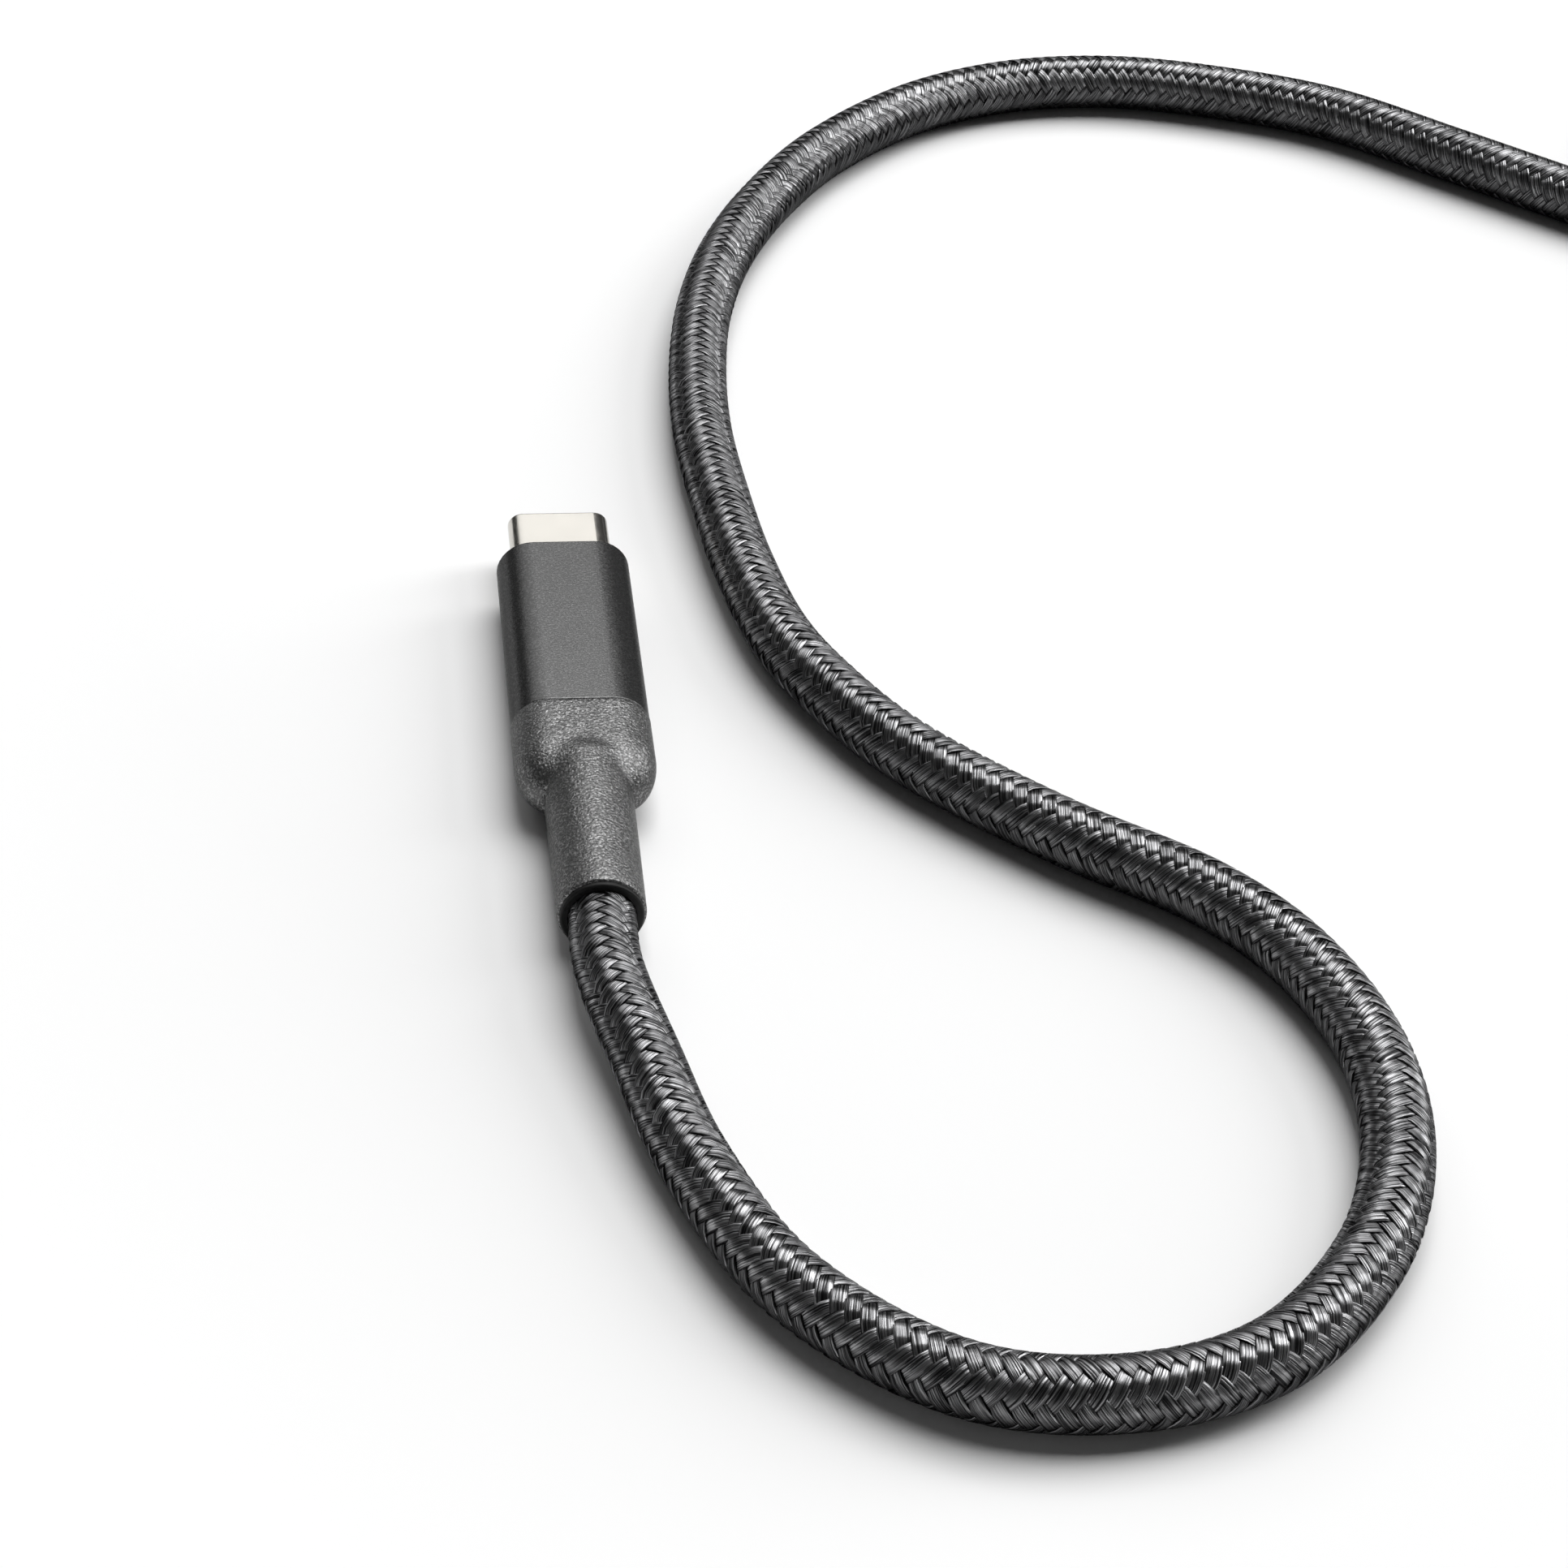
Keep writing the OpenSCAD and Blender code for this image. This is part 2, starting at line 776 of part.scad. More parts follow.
// A strap drawn round the turns where they pass the tie's angle, with its loose tail
tie_turns = [for (i = [0 : ceil(coil_turns)])
    let (turn = (tie_angle - coil_start_angle) / 360 + i)
    if (turn > 0 && turn < coil_turns) turn];
module tie_outline(reach) {
    hull()
        for (turn = tie_turns)
            translate([coil_radius(turn), coil_height(turn)])
                circle(r = cord_d / 2 + reach, $fn = 32);
}
module tie() {
    strap_tail = 10;
    tail_start_r = max([for (turn = tie_turns) coil_radius(turn)]);
    color("darkgray")
        translate([coil_centre[0], coil_centre[1], 0])
            rotate([0, 0, tie_angle])
                translate([0, tie_w / 2, 0])
                    rotate([90, 0, 0])
                        linear_extrude(height = tie_w) {
                            difference() {
                                tie_outline(tie_gap + tie_t);
                                tie_outline(tie_gap);
                            }
                            translate([tail_start_r, 0])
                                square([strap_tail, tie_t]);
                        }
}

near() shell();  // near_shell
near() insulator();  // near_insulator
near() contacts_upper();  // near_contacts_upper
near() contacts_lower();  // near_contacts_lower
near() ground_springs();  // near_ground_springs
near() latch();  // near_latch
near() card();  // near_card
near() chips();  // near_chips
near() can_upper();  // near_can_upper
near() can_lower();  // near_can_lower
near() wires();  // near_wires
near() ferrule();  // near_ferrule
near() core();  // near_core
near() mould();  // near_mould
near() housing();  // near_housing
near() sleeve();  // near_sleeve
near() braid_end();  // near_braid_end
near() boot();  // near_boot
far() shell();  // far_shell
far() insulator();  // far_insulator
far() contacts_upper();  // far_contacts_upper
far() contacts_lower();  // far_contacts_lower
far() ground_springs();  // far_ground_springs
far() latch();  // far_latch
far() card();  // far_card
far() chips();  // far_chips
far() can_upper();  // far_can_upper
far() can_lower();  // far_can_lower
far() wires();  // far_wires
far() ferrule();  // far_ferrule
far() core();  // far_core
far() mould();  // far_mould
far() housing();  // far_housing
far() sleeve();  // far_sleeve
far() braid_end();  // far_braid_end
far() boot();  // far_boot
cord_run();
cord_coil();
cord_lead();
tie();
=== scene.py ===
"""Dresses a braided charging cable: its cord, its boots, its metal parts and the tie."""

import math

import bpy
import numpy as np
from bpy.props import FloatProperty, FloatVectorProperty, IntProperty, PointerProperty
from bpy.types import Operator, Panel, PropertyGroup
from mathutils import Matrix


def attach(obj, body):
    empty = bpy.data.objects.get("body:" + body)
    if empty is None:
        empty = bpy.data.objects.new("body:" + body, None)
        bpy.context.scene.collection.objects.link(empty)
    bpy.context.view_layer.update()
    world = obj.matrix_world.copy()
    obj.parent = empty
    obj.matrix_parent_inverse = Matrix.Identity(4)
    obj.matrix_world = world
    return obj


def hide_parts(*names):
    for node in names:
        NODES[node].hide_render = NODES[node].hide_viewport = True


bl_info = {
    "name": "Braided Cable Look",
    "version": (1, 0, 0),
    "blender": (4, 5, 0),
    "location": "View3D > Sidebar > Cable",
    "description": "Makes the braid, boots, metal parts and tie of a charging cable",
    "category": "Object",
}

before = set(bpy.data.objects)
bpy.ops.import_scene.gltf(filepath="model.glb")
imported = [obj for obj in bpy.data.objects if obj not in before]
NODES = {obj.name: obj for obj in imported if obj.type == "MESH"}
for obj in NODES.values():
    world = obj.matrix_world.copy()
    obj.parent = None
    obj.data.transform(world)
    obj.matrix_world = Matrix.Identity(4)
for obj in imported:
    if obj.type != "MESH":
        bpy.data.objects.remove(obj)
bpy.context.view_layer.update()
MM = 0.001
TO_MM = 1000.0
TAU = 2 * math.pi

# Stations along a plug, from the end where the cord comes out
BARREL_LEN = 13.75 * MM
SHOULDER_LEN = 4.25 * MM
SHOULDER_END = BARREL_LEN + SHOULDER_LEN
BOOT_LEN = SHOULDER_END + 4.75 * MM
HOUSING_END = BOOT_LEN + 21.25 * MM
SLEEVE_LEN = BARREL_LEN + 0.75 * MM
FLANGE_LEN = 0.4 * MM

# Sections of a plug
SHELL_W, SHELL_H = 8.25 * MM, 2.4 * MM
HOUSING_W, HOUSING_H = 10.8 * MM, 5.8 * MM
BOOT_W, BOOT_H = 10.9 * MM, 5.9 * MM
BARREL_R, BARREL_END_R = 3.4 * MM, 3.3 * MM
SHOULDER_ROUND = 2.4 * MM
RIDGE_STEP, RIDGE_FALL = 2.25 * MM, 3 * MM
BLEND = 0.8 * MM
CAVITY_W, CAVITY_H = 9.13 * MM, 4.6 * MM
CAVITY_START = SHOULDER_END - 0.35 * SHOULDER_LEN
CAVITY_END = HOUSING_END - 0.85 * MM
SLEEVE_R, CORE_R = 2.97 * MM, 1.82 * MM
WELD_GAP = 0.04 * MM
LIP, HOUSING_EDGE, JOINT_EDGE = 0.2 * MM, 0.2 * MM, 0.08 * MM
RIDGE_SINK = 0.1 * MM
BRAID_SHORT = 0.2 * MM

# Cord on the table, and the coil
CORD_D = 5.1 * MM
CORD_Z = CORD_D / 2
AXIS_Z = 3.4 * MM
NEAR_EXIT = (0, -25.3 * MM, AXIS_Z)
COIL_CENTRE = (144 * MM, 84 * MM)
COIL_R = 33 * MM
COIL_STEP = 5.6 * MM
LOWER_TURNS = 1 + 310 / 360
COIL_TURNS = LOWER_TURNS + 1
COIL_POINTS, CLIMB_TURNS = 24, 0.5
INNER_R = COIL_R - COIL_STEP * LOWER_TURNS
FAR_X = COIL_CENTRE[0] - (INNER_R + COIL_STEP)
FAR_EXIT = (FAR_X, 30 * MM, AXIS_Z)
COIL_START_ANGLE, TIE_ANGLE, TIE_REACH = 230, 45, 45
TIE_GAP, TIE_T, TIE_W, TIE_TAIL = 0.3 * MM, 0.8 * MM, 12 * MM, 10 * MM
TIE_CORNER, TAIL_GAP = 2 * MM, 0.05 * MM
STRAP_RIBS, PICKS_PER_MM = 14, 0.8

# The route's points in millimetres; the cord's middle lies on the table where no height is given
RUN_POINTS = (
    (2, -40, 3), (4.5, -50), (10, -62), (20, -70.5), (30, -72), (40, -69), (48.5, -60),
    (52.5, -50), (53, -40), (50, -30), (45, -23), (35, -15), (25, -5), (20, 3), (17, 10),
    (15, 20), (14, 30), (13.5, 40), (14, 50), (15.5, 60), (18.5, 70), (23.5, 80), (30, 89),
    (40, 97.5), (50, 101.5), (60, 102), (70, 99.5), (80, 95), (90, 86.5), (99, 78.5), (109, 70),
)

# Direction in which a rib of right-hand tows faces, in degrees from the cord's right side
# over its top, at some lengths of cord in millimetres: how the cord is twisted as it lies
RIB_ANGLES = (
    (0, 62), (20, 62), (25, 68), (33, 83), (45, 80), (55, 88), (67, 112), (80, 112), (95, 100),
    (105, 95), (135, 97), (145, 117), (160, 118), (185, 115), (197, 113), (210, 108),
    (225, 108), (240, 125), (250, 130), (262, 126), (272, 122), (290, 121), (302, 117),
)
RIB_REST = 78.75
WAVES_IN_PITCH = 4

# Finishes inside a plug: colour, grain's size and depth in metres, roughness, metallic, parts
INNER_FINISHES = {
    "Spring Steel": (
        (0.6, 0.6, 0.6), 0.0002, 0.000002, 0.3, 1.0, ("ground_springs", "latch"),
    ),
    "Gold Plate": (
        (0.85, 0.6, 0.25), 0.0002, 0.000002, 0.25, 1.0, ("contacts_upper", "contacts_lower"),
    ),
    "Tinned Steel": (
        (0.65, 0.65, 0.65), 0.0003, 0.000004, 0.35, 1.0, ("can_upper", "can_lower", "ferrule"),
    ),
    "Glass-filled Plastic": (
        (0.02, 0.02, 0.02), 0.0001, 0.000004, 0.45, 0.0, ("insulator", "chips"),
    ),
    "Solder Mask": ((0.01, 0.12, 0.04), 0.0002, 0.000004, 0.3, 0.0, ("card",)),
    "Wire Jacket": ((0.45, 0.03, 0.02), 0.0003, 0.000004, 0.4, 0.0, ("wires",)),
    "Inner Moulding": ((0.65, 0.62, 0.52), 0.0003, 0.000006, 0.5, 0.0, ("mould",)),
    "Core Jacket": ((0.5, 0.5, 0.5), 0.0003, 0.000006, 0.5, 0.0, ("core",)),
}

# Lamps: name, place, target, width and height in metres, power in watts
LAMPS = (
    ("top", (0.62, 0.9, 1.7), (0.62, 0.9, 0), 1.7, 1.8, 42),
    ("side", (1.62, 0.54, 0.8), (0.04, 0.0, 0), 0.7, 1.2, 18.4),
    ("back", (-0.36, 1.46, 1.24), (0.03, 0.0, 0), 1.5, 0.9, 6.2),
)
WORLD_LIGHT = 0.04

# The floor turns white on its own between two distances from the view's middle
FLOOR_HALF = 12
VIEW_MIDDLE = (0.08, 0.05, 0)
WHITE_START, WHITE_END = 0.12, 0.9

# Camera, with its dip below level and its turn to the right in degrees
LENS, SENSOR, LENS_SHIFT = 89, 36, 0.25
CAMERA_PLACE = (-22 * MM, -240 * MM, 185.4 * MM)
CAMERA_DIP, CAMERA_TURN = 38.23, 1.79
NEAREST, FARTHEST = 0.01, 20


def ease(t):
    """Smooth step from 0 to 1."""
    t = min(1, max(0, t))
    return t * t * (3 - 2 * t)


def coil_point(turn):
    """A point of the coil's middle line after some turns: in on the table, then out on top."""
    angle = COIL_START_ANGLE + 360 * turn
    out = turn >= LOWER_TURNS
    radius = INNER_R + COIL_STEP * (turn - LOWER_TURNS) if out else COIL_R - COIL_STEP * turn
    gap = abs((angle - TIE_ANGLE + 180) % 360 - 180)
    lift = (TIE_T + TIE_GAP) * ease(1 - gap / TIE_REACH)
    climb = COIL_STEP * ease((turn - LOWER_TURNS) / CLIMB_TURNS + 0.5)
    a = math.radians(angle)
    return np.array([
        COIL_CENTRE[0] + radius * math.cos(a),
        COIL_CENTRE[1] + radius * math.sin(a),
        CORD_Z + lift + climb,
    ])


def measured(line):
    """Distance along a line at each of its points."""
    steps = np.linalg.norm(np.diff(line, axis=0), axis=1)
    return np.concatenate([[0], np.cumsum(steps)])


def even(line, step):
    """The same line with points at an even distance."""
    at = measured(line)
    where = np.linspace(0, at[-1], max(2, round(at[-1] / step) + 1))
    return np.column_stack([np.interp(where, at, line[:, k]) for k in range(3)])


def curve_through(points, step):
    """A smooth line through the points, with a point at each step."""
    p = np.vstack([2 * points[0] - points[1], points, 2 * points[-1] - points[-2]])
    out = []
    for a, b, c, d in zip(p, p[1:], p[2:], p[3:]):
        t0, t1, t2 = (max(1e-9, np.linalg.norm(v)) ** 0.5 for v in (b - a, c - b, d - c))
        m1 = c - b + t1 * ((b - a) / t0 - (c - a) / (t0 + t1))
        m2 = c - b + t1 * ((d - c) / t2 - (d - b) / (t1 + t2))
        for t in np.arange(0, 1, 0.05):
            out.append(
                (2 * t**3 - 3 * t**2 + 1) * b + (t**3 - 2 * t**2 + t) * m1
                + (3 * t**2 - 2 * t**3) * c + (t**3 - t**2) * m2
            )
    out.append(p[-2])
    return even(np.array(out), step)


def cord_line():
    """The cord's middle line from one plug to the other, and where its run and its coil end."""
    near, far = np.array(NEAR_EXIT), np.array(FAR_EXIT)
    out = np.array([0, -CORD_D, 0])
    run = [near, near + out]
    run += [np.array([*(v * MM for v in p), CORD_Z][:3]) for p in RUN_POINTS]
    first, last = coil_point(0), coil_point(COIL_TURNS)
    ahead = coil_point(0.01) - first
    run.append(first - CORD_D * ahead / np.linalg.norm(ahead))
    turns = np.linspace(0, COIL_TURNS, round(COIL_POINTS * COIL_TURNS) + 1)
    coil = [coil_point(t) for t in turns]
    # Down from the coil to the far plug: y in millimetres, and the share of a layer it is up
    lead = [(68, 1), (59, 1), (51, 0.75), (43, 0.35)]
    lead = [np.array([FAR_X, y * MM, CORD_Z + share * COIL_STEP]) for y, share in lead]
    points = np.array(run + coil + [last + out] + lead + [far - out, far])
    line = curve_through(points, MM)
    at = measured(line)
    ends = [at[np.linalg.norm(line - p, axis=1).argmin()] for p in (run[-1], last + out)]
    return line, ends[0], ends[1]


def scene_object(name, data):
    """A new object in the scene, of a mesh, a lamp or a camera."""
    made = bpy.data.objects.new(name, data)
    bpy.context.scene.collection.objects.link(made)
    return made


def smooth(mesh, angle=50):
    """Shades a mesh smooth, apart from edges sharper than the angle."""
    mesh.polygons.foreach_set("use_smooth", [True] * len(mesh.polygons))
    mesh.set_sharp_from_angle(angle=math.radians(angle))


def ring_mesh(name, rings, closed=False):
    """A skin over rings of equally many points, with its ends capped or joined to each other."""
    count, sides = len(rings), len(rings[0])
    faces = []
    for i in range(count if closed else count - 1):
        a, b = i * sides, (i + 1) % count * sides
        for k in range(sides):
            n = (k + 1) % sides
            faces.append((a + k, a + n, b + n, b + k))
    if not closed:
        faces.append(tuple(range(sides - 1, -1, -1)))
        faces.append(tuple((count - 1) * sides + k for k in range(sides)))
    mesh = bpy.data.meshes.new(name)
    mesh.from_pydata([tuple(p) for ring in rings for p in ring], [], faces)
    mesh.update()
    return mesh


def outward(mesh):
    """Turns a closed mesh's faces outwards if its volume comes out negative."""
    mesh.calc_loop_triangles()
    co = np.array([v.co for v in mesh.vertices])
    tri = np.array([t.vertices for t in mesh.loop_triangles])
    a, b, c = co[tri[:, 0]], co[tri[:, 1]], co[tri[:, 2]]
    if np.einsum("ij,ij->i", a, np.cross(b, c)).sum() < 0:
        mesh.flip_normals()
    return mesh


def plug_skin(name, rings, end, finish):
    """A closed skin over rings drawn in a plug's own frame, on the near or the far plug."""
    turn = 1 if end == "near" else -1
    x, y, z = NEAR_EXIT if end == "near" else FAR_EXIT
    moved = [[(x + turn * px, y + turn * py, z + pz) for px, py, pz in ring] for ring in rings]
    mesh = outward(ring_mesh(name, moved, closed=True))
    smooth(mesh)
    mesh.materials.append(finish)
    return scene_object(name, mesh)


def slot_reach(a, width, height):
    """Distance from the middle of a slot shape to its edge, in direction a."""
    flat, r = (width - height) / 2, height / 2
    if abs(r * math.cos(a)) < abs(flat * math.sin(a)):
        return r / abs(math.sin(a))
    return flat * abs(math.cos(a)) + math.sqrt(r * r - (flat * math.sin(a)) ** 2)


def slot_ring(width, height, y, inset=0.0, arc=16, flat=6):
    """A slot-shaped ring at a station, drawn in by the inset."""
    r, half = height / 2 - inset, (width - height) / 2
    ring = []
    for side in (1, -1):
        for k in range(arc):
            a = -math.pi / 2 + math.pi * k / arc
            ring.append((side * (half + r * math.cos(a)), y, side * r * math.sin(a)))
        for k in range(flat):
            ring.append((side * (half - 2 * half * k / flat), y, side * r))
    return ring


def soft_max(a, b, blend):
    """The larger of two lengths, with a soft blend where they are nearly equal."""
    d = abs(a - b)
    return max(a, b) + (blend / 4 * (1 - d / blend) ** 2 if d < blend else 0)


# Shader and geometry nodes


def add(tree, kind, inputs=None, **settings):
    """A new node with its settings and inputs, which are values or sockets."""
    node = tree.nodes.new(kind)
    for key, value in settings.items():
        setattr(node, key, value)
    for key, value in (inputs or {}).items():
        if isinstance(value, bpy.types.NodeSocket):
            tree.links.new(value, node.inputs[key])
        else:
            node.inputs[key].default_value = value
    return node


def calc(tree, operation, *values):
    """The result of a Math node."""
    return add(tree, "ShaderNodeMath", dict(enumerate(values)), operation=operation).outputs[0]


def vector(tree, operation, *values):
    """The result of a Vector Math node."""
    node = add(tree, "ShaderNodeVectorMath", dict(enumerate(values)), operation=operation)
    return node.outputs[0]


def scaled(tree, value, factor):
    """A vector times a number."""
    node = add(
        tree, "ShaderNodeVectorMath", {"Vector": value, "Scale": factor}, operation="SCALE"
    )
    return node.outputs[0]


def between(tree, value, low, high, out_low, out_high):
    """A Map Range node, clamped."""
    inputs = {
        "Value": value, "From Min": low, "From Max": high, "To Min": out_low, "To Max": out_high
    }
    return add(tree, "ShaderNodeMapRange", inputs).outputs[0]


def blend_colour(tree, factor, a, b):
    """One colour over another, by a factor."""
    node = add(tree, "ShaderNodeMix", data_type="RGBA")
    for key, value in ((0, factor), (6, a), (7, b)):
        if isinstance(value, bpy.types.NodeSocket):
            tree.links.new(value, node.inputs[key])
        else:
            node.inputs[key].default_value = value
    return node.outputs[2]


def rgba(colour, factor=1):
    """A colour with full alpha, made lighter or darker."""
    return (*(min(1, c * factor) for c in colour[:3]), 1)


# Inputs of the braid's node tree with their defaults
TREE_INPUTS = {
    "Start": 0.0, "End": 1.0, "Hand": 1.0, "Tows": 8, "Samples": 100, "Sides": 8,
    "Pitch": 0.0096, "Radius": 0.0022, "Rise": 0.00015, "Sharpness": 1.6, "Swell": 0.05,
    "Slant": 0.0, "Tow Width": 0.001, "Tow Thickness": 0.0003, "Flatness": 0.35,
}

# Millimetres of filaments that the tows of one hand are spread over, so no two look the same
TOW_SPREAD = 977.0


def braid_tree():
    """The node tree that lays the tows of one hand round a line, over two and under two."""
    tree = bpy.data.node_groups.new("Braided Tows", "GeometryNodeTree")
    tree.interface.new_socket("Geometry", in_out="INPUT", socket_type="NodeSocketGeometry")
    for name, value in TREE_INPUTS.items():
        kind = "NodeSocketInt" if isinstance(value, int) else "NodeSocketFloat"
        tree.interface.new_socket(name, in_out="INPUT", socket_type=kind).default_value = value
    tree.interface.new_socket("Material", in_out="INPUT", socket_type="NodeSocketMaterial")
    tree.interface.new_socket("Geometry", in_out="OUTPUT", socket_type="NodeSocketGeometry")
    given = tree.nodes.new("NodeGroupInput").outputs

    # The cord's middle line, with its normals up
    line = add(tree, "GeometryNodeMeshToCurve", {"Mesh": given["Geometry"]}).outputs[0]
    line = add(tree, "GeometryNodeSetCurveNormal", {"Curve": line}, mode="Z_UP").outputs[0]

    # One straight row of points for each tow, and each point's place along and round the cord
    row = add(tree, "GeometryNodeCurvePrimitiveLine").outputs[0]
    row = add(tree, "GeometryNodeResampleCurve", {"Curve": row, "Count": given["Samples"]})
    copies = add(
        tree, "GeometryNodeDuplicateElements",
        {"Geometry": row.outputs[0], "Amount": given["Tows"]}, domain="SPLINE",
    )
    share = add(tree, "GeometryNodeSplineParameter").outputs["Factor"]
    reach = calc(tree, "SUBTRACT", given["End"], given["Start"])
    along = calc(tree, "MULTIPLY_ADD", share, reach, given["Start"])
    order = calc(tree, "DIVIDE", copies.outputs["Duplicate Index"], given["Tows"])
    wound = calc(tree, "MULTIPLY", calc(tree, "DIVIDE", along, given["Pitch"]), given["Hand"])
    angle = calc(tree, "MULTIPLY", calc(tree, "ADD", order, wound), TAU)
    half = calc(tree, "MULTIPLY", given["Tows"], 0.5)
    phase = calc(tree, "MULTIPLY_ADD", angle, half, math.pi / 4)
    turn = add(tree, "GeometryNodeInputNamedAttribute", {"Name": "Turn"}, data_type="FLOAT")
    at = add(
        tree, "GeometryNodeSampleCurve",
        {"Curves": line, "Value": turn.outputs["Attribute"], "Length": along}, mode="LENGTH",
    )
    turned = calc(tree, "ADD", angle, at.outputs["Value"])
    normal, tangent = at.outputs["Normal"], at.outputs["Tangent"]
    side = vector(tree, "CROSS_PRODUCT", tangent, normal)
    cosine, sine = calc(tree, "COSINE", turned), calc(tree, "SINE", turned)
    radial = vector(
        tree, "ADD", scaled(tree, normal, cosine), scaled(tree, side, sine)
    )
    held = tree.nodes.new("GeometryNodeCaptureAttribute")
    held.domain = "POINT"
    for name, kind, value in (
        ("Along", "FLOAT", along), ("Outward", "VECTOR", radial), ("Tow", "FLOAT", order),
        ("Phase", "FLOAT", phase),
    ):
        held.capture_items.new(kind, name)
        tree.links.new(value, held.inputs[name])
    tree.links.new(copies.outputs["Geometry"], held.inputs["Geometry"])
    place = vector(tree, "ADD", at.outputs["Position"], scaled(tree, radial, given["Radius"]))
    tows = add(
        tree, "GeometryNodeSetPosition",
        {"Geometry": held.outputs["Geometry"], "Position": place},
    )
    tows = add(
        tree, "GeometryNodeSetCurveNormal",
        {"Curve": tows.outputs[0], "Normal": held.outputs["Outward"]}, mode="FREE",
    )

    def wave(where):
        """How high a tow runs at a phase, from 1 on top to -1 below."""
        height = calc(tree, "MULTIPLY", calc(tree, "SINE", where), given["Sharpness"])
        height = calc(tree, "MAXIMUM", calc(tree, "MINIMUM", height, 1.0), -1.0)
        return calc(tree, "MULTIPLY", height, given["Hand"])

    swell = calc(tree, "MULTIPLY_ADD", wave(held.outputs["Phase"]), given["Swell"], 1.0)

    # A flat section, swept along each tow
    section = add(
        tree, "GeometryNodeCurvePrimitiveCircle", {"Resolution": given["Sides"], "Radius": 1.0}
    )
    corner = add(tree, "GeometryNodeInputPosition").outputs[0]
    spot = add(tree, "ShaderNodeSeparateXYZ", {0: corner})
    kept = tree.nodes.new("GeometryNodeCaptureAttribute")
    kept.domain = "POINT"
    kept.capture_items.new("FLOAT", "Across")
    tree.links.new(spot.outputs["Y"], kept.inputs["Across"])
    tree.links.new(section.outputs[0], kept.inputs["Geometry"])
    bulge = calc(
        tree, "POWER", calc(tree, "ABSOLUTE", spot.outputs["X"]), given["Flatness"]
    )
    bulge = calc(tree, "MULTIPLY", bulge, calc(tree, "SIGN", spot.outputs["X"]))
    flat = add(tree, "ShaderNodeCombineXYZ", {
        "X": calc(tree, "MULTIPLY", bulge, calc(tree, "MULTIPLY", given["Tow Thickness"], 0.5)),
        "Y": calc(tree, "MULTIPLY", spot.outputs["Y"],
                  calc(tree, "MULTIPLY", given["Tow Width"], 0.5)),
    })
    section = add(
        tree, "GeometryNodeSetPosition",
        {"Geometry": kept.outputs["Geometry"], "Position": flat.outputs[0]},
    )
    skin = add(tree, "GeometryNodeCurveToMesh", {
        "Curve": tows.outputs[0], "Profile Curve": section.outputs[0], "Scale": swell,
        "Fill Caps": True,
    })

    # Over and under: a tow dips along the edge of the one that crosses it, so at a slant
    slanted = calc(
        tree, "MULTIPLY_ADD", kept.outputs["Across"], given["Slant"], held.outputs["Phase"]
    )
    lift = scaled(
        tree, held.outputs["Outward"], calc(tree, "MULTIPLY", wave(slanted), given["Rise"])
    )
    skin = add(
        tree, "GeometryNodeSetPosition", {"Geometry": skin.outputs[0], "Offset": lift}
    )
    skin = add(tree, "GeometryNodeSetShadeSmooth", {"Geometry": skin.outputs[0]})

    # The UV map: across the tow from 0 to 1, and along it in millimetres, apart for each tow
    apart = calc(tree, "MULTIPLY", held.outputs["Tow"], TOW_SPREAD)
    place = add(tree, "ShaderNodeCombineXYZ", {
        "X": calc(tree, "MULTIPLY_ADD", kept.outputs["Across"], 0.5, 0.5),
        "Y": calc(tree, "MULTIPLY_ADD", held.outputs["Along"], TO_MM, apart),
    })
    skin = add(
        tree, "GeometryNodeStoreNamedAttribute",
        {"Geometry": skin.outputs[0], "Name": "UVMap", "Value": place.outputs[0]},
        data_type="FLOAT2", domain="CORNER",
    )
    whole = add(tree, "GeometryNodeRealizeInstances", {"Geometry": skin.outputs[0]})
    whole = add(
        tree, "GeometryNodeSetMaterial",
        {"Geometry": whole.outputs[0], "Material": given["Material"]},
    )
    add(tree, "NodeGroupOutput", {0: whole.outputs[0]})
    return tree


def grown(tree, name, base, values):
    """What a node tree makes of a base object, as a plain mesh object."""
    modifier = base.modifiers.new("Grow", "NODES")
    modifier.node_group = tree
    sockets = {s.name: s.identifier for s in tree.interface.items_tree if s.in_out == "INPUT"}
    for key, value in values.items():
        modifier[sockets[key]] = value
    found = bpy.context.evaluated_depsgraph_get()
    mesh = bpy.data.meshes.new_from_object(
        base.evaluated_get(found), preserve_all_data_layers=True, depsgraph=found
    )
    base.modifiers.remove(modifier)
    if not len(mesh.polygons):
        raise RuntimeError(f"{name} came out empty")
    mesh.name = name
    return scene_object(name, outward(mesh))


# Materials


def material(name):
    """A new material, its tree and its shader."""
    made = bpy.data.materials.new(name)
    made.use_nodes = True
    return made, made.node_tree, made.node_tree.nodes["Principled BSDF"]


def node_group(name, inputs, outputs):
    """An empty shader group with named inputs and outputs."""
    tree = bpy.data.node_groups.new(name, "ShaderNodeTree")
    for key, value in inputs.items():
        kind = "NodeSocketVector" if value is None else "NodeSocketFloat"
        socket = tree.interface.new_socket(key, in_out="INPUT", socket_type=kind)
        if value is not None:
            socket.default_value = value
    for key in outputs:
        tree.interface.new_socket(key, in_out="OUTPUT", socket_type="NodeSocketFloat")
    given, out = tree.nodes.new("NodeGroupInput"), tree.nodes.new("NodeGroupOutput")
    return tree, given.outputs, out.inputs


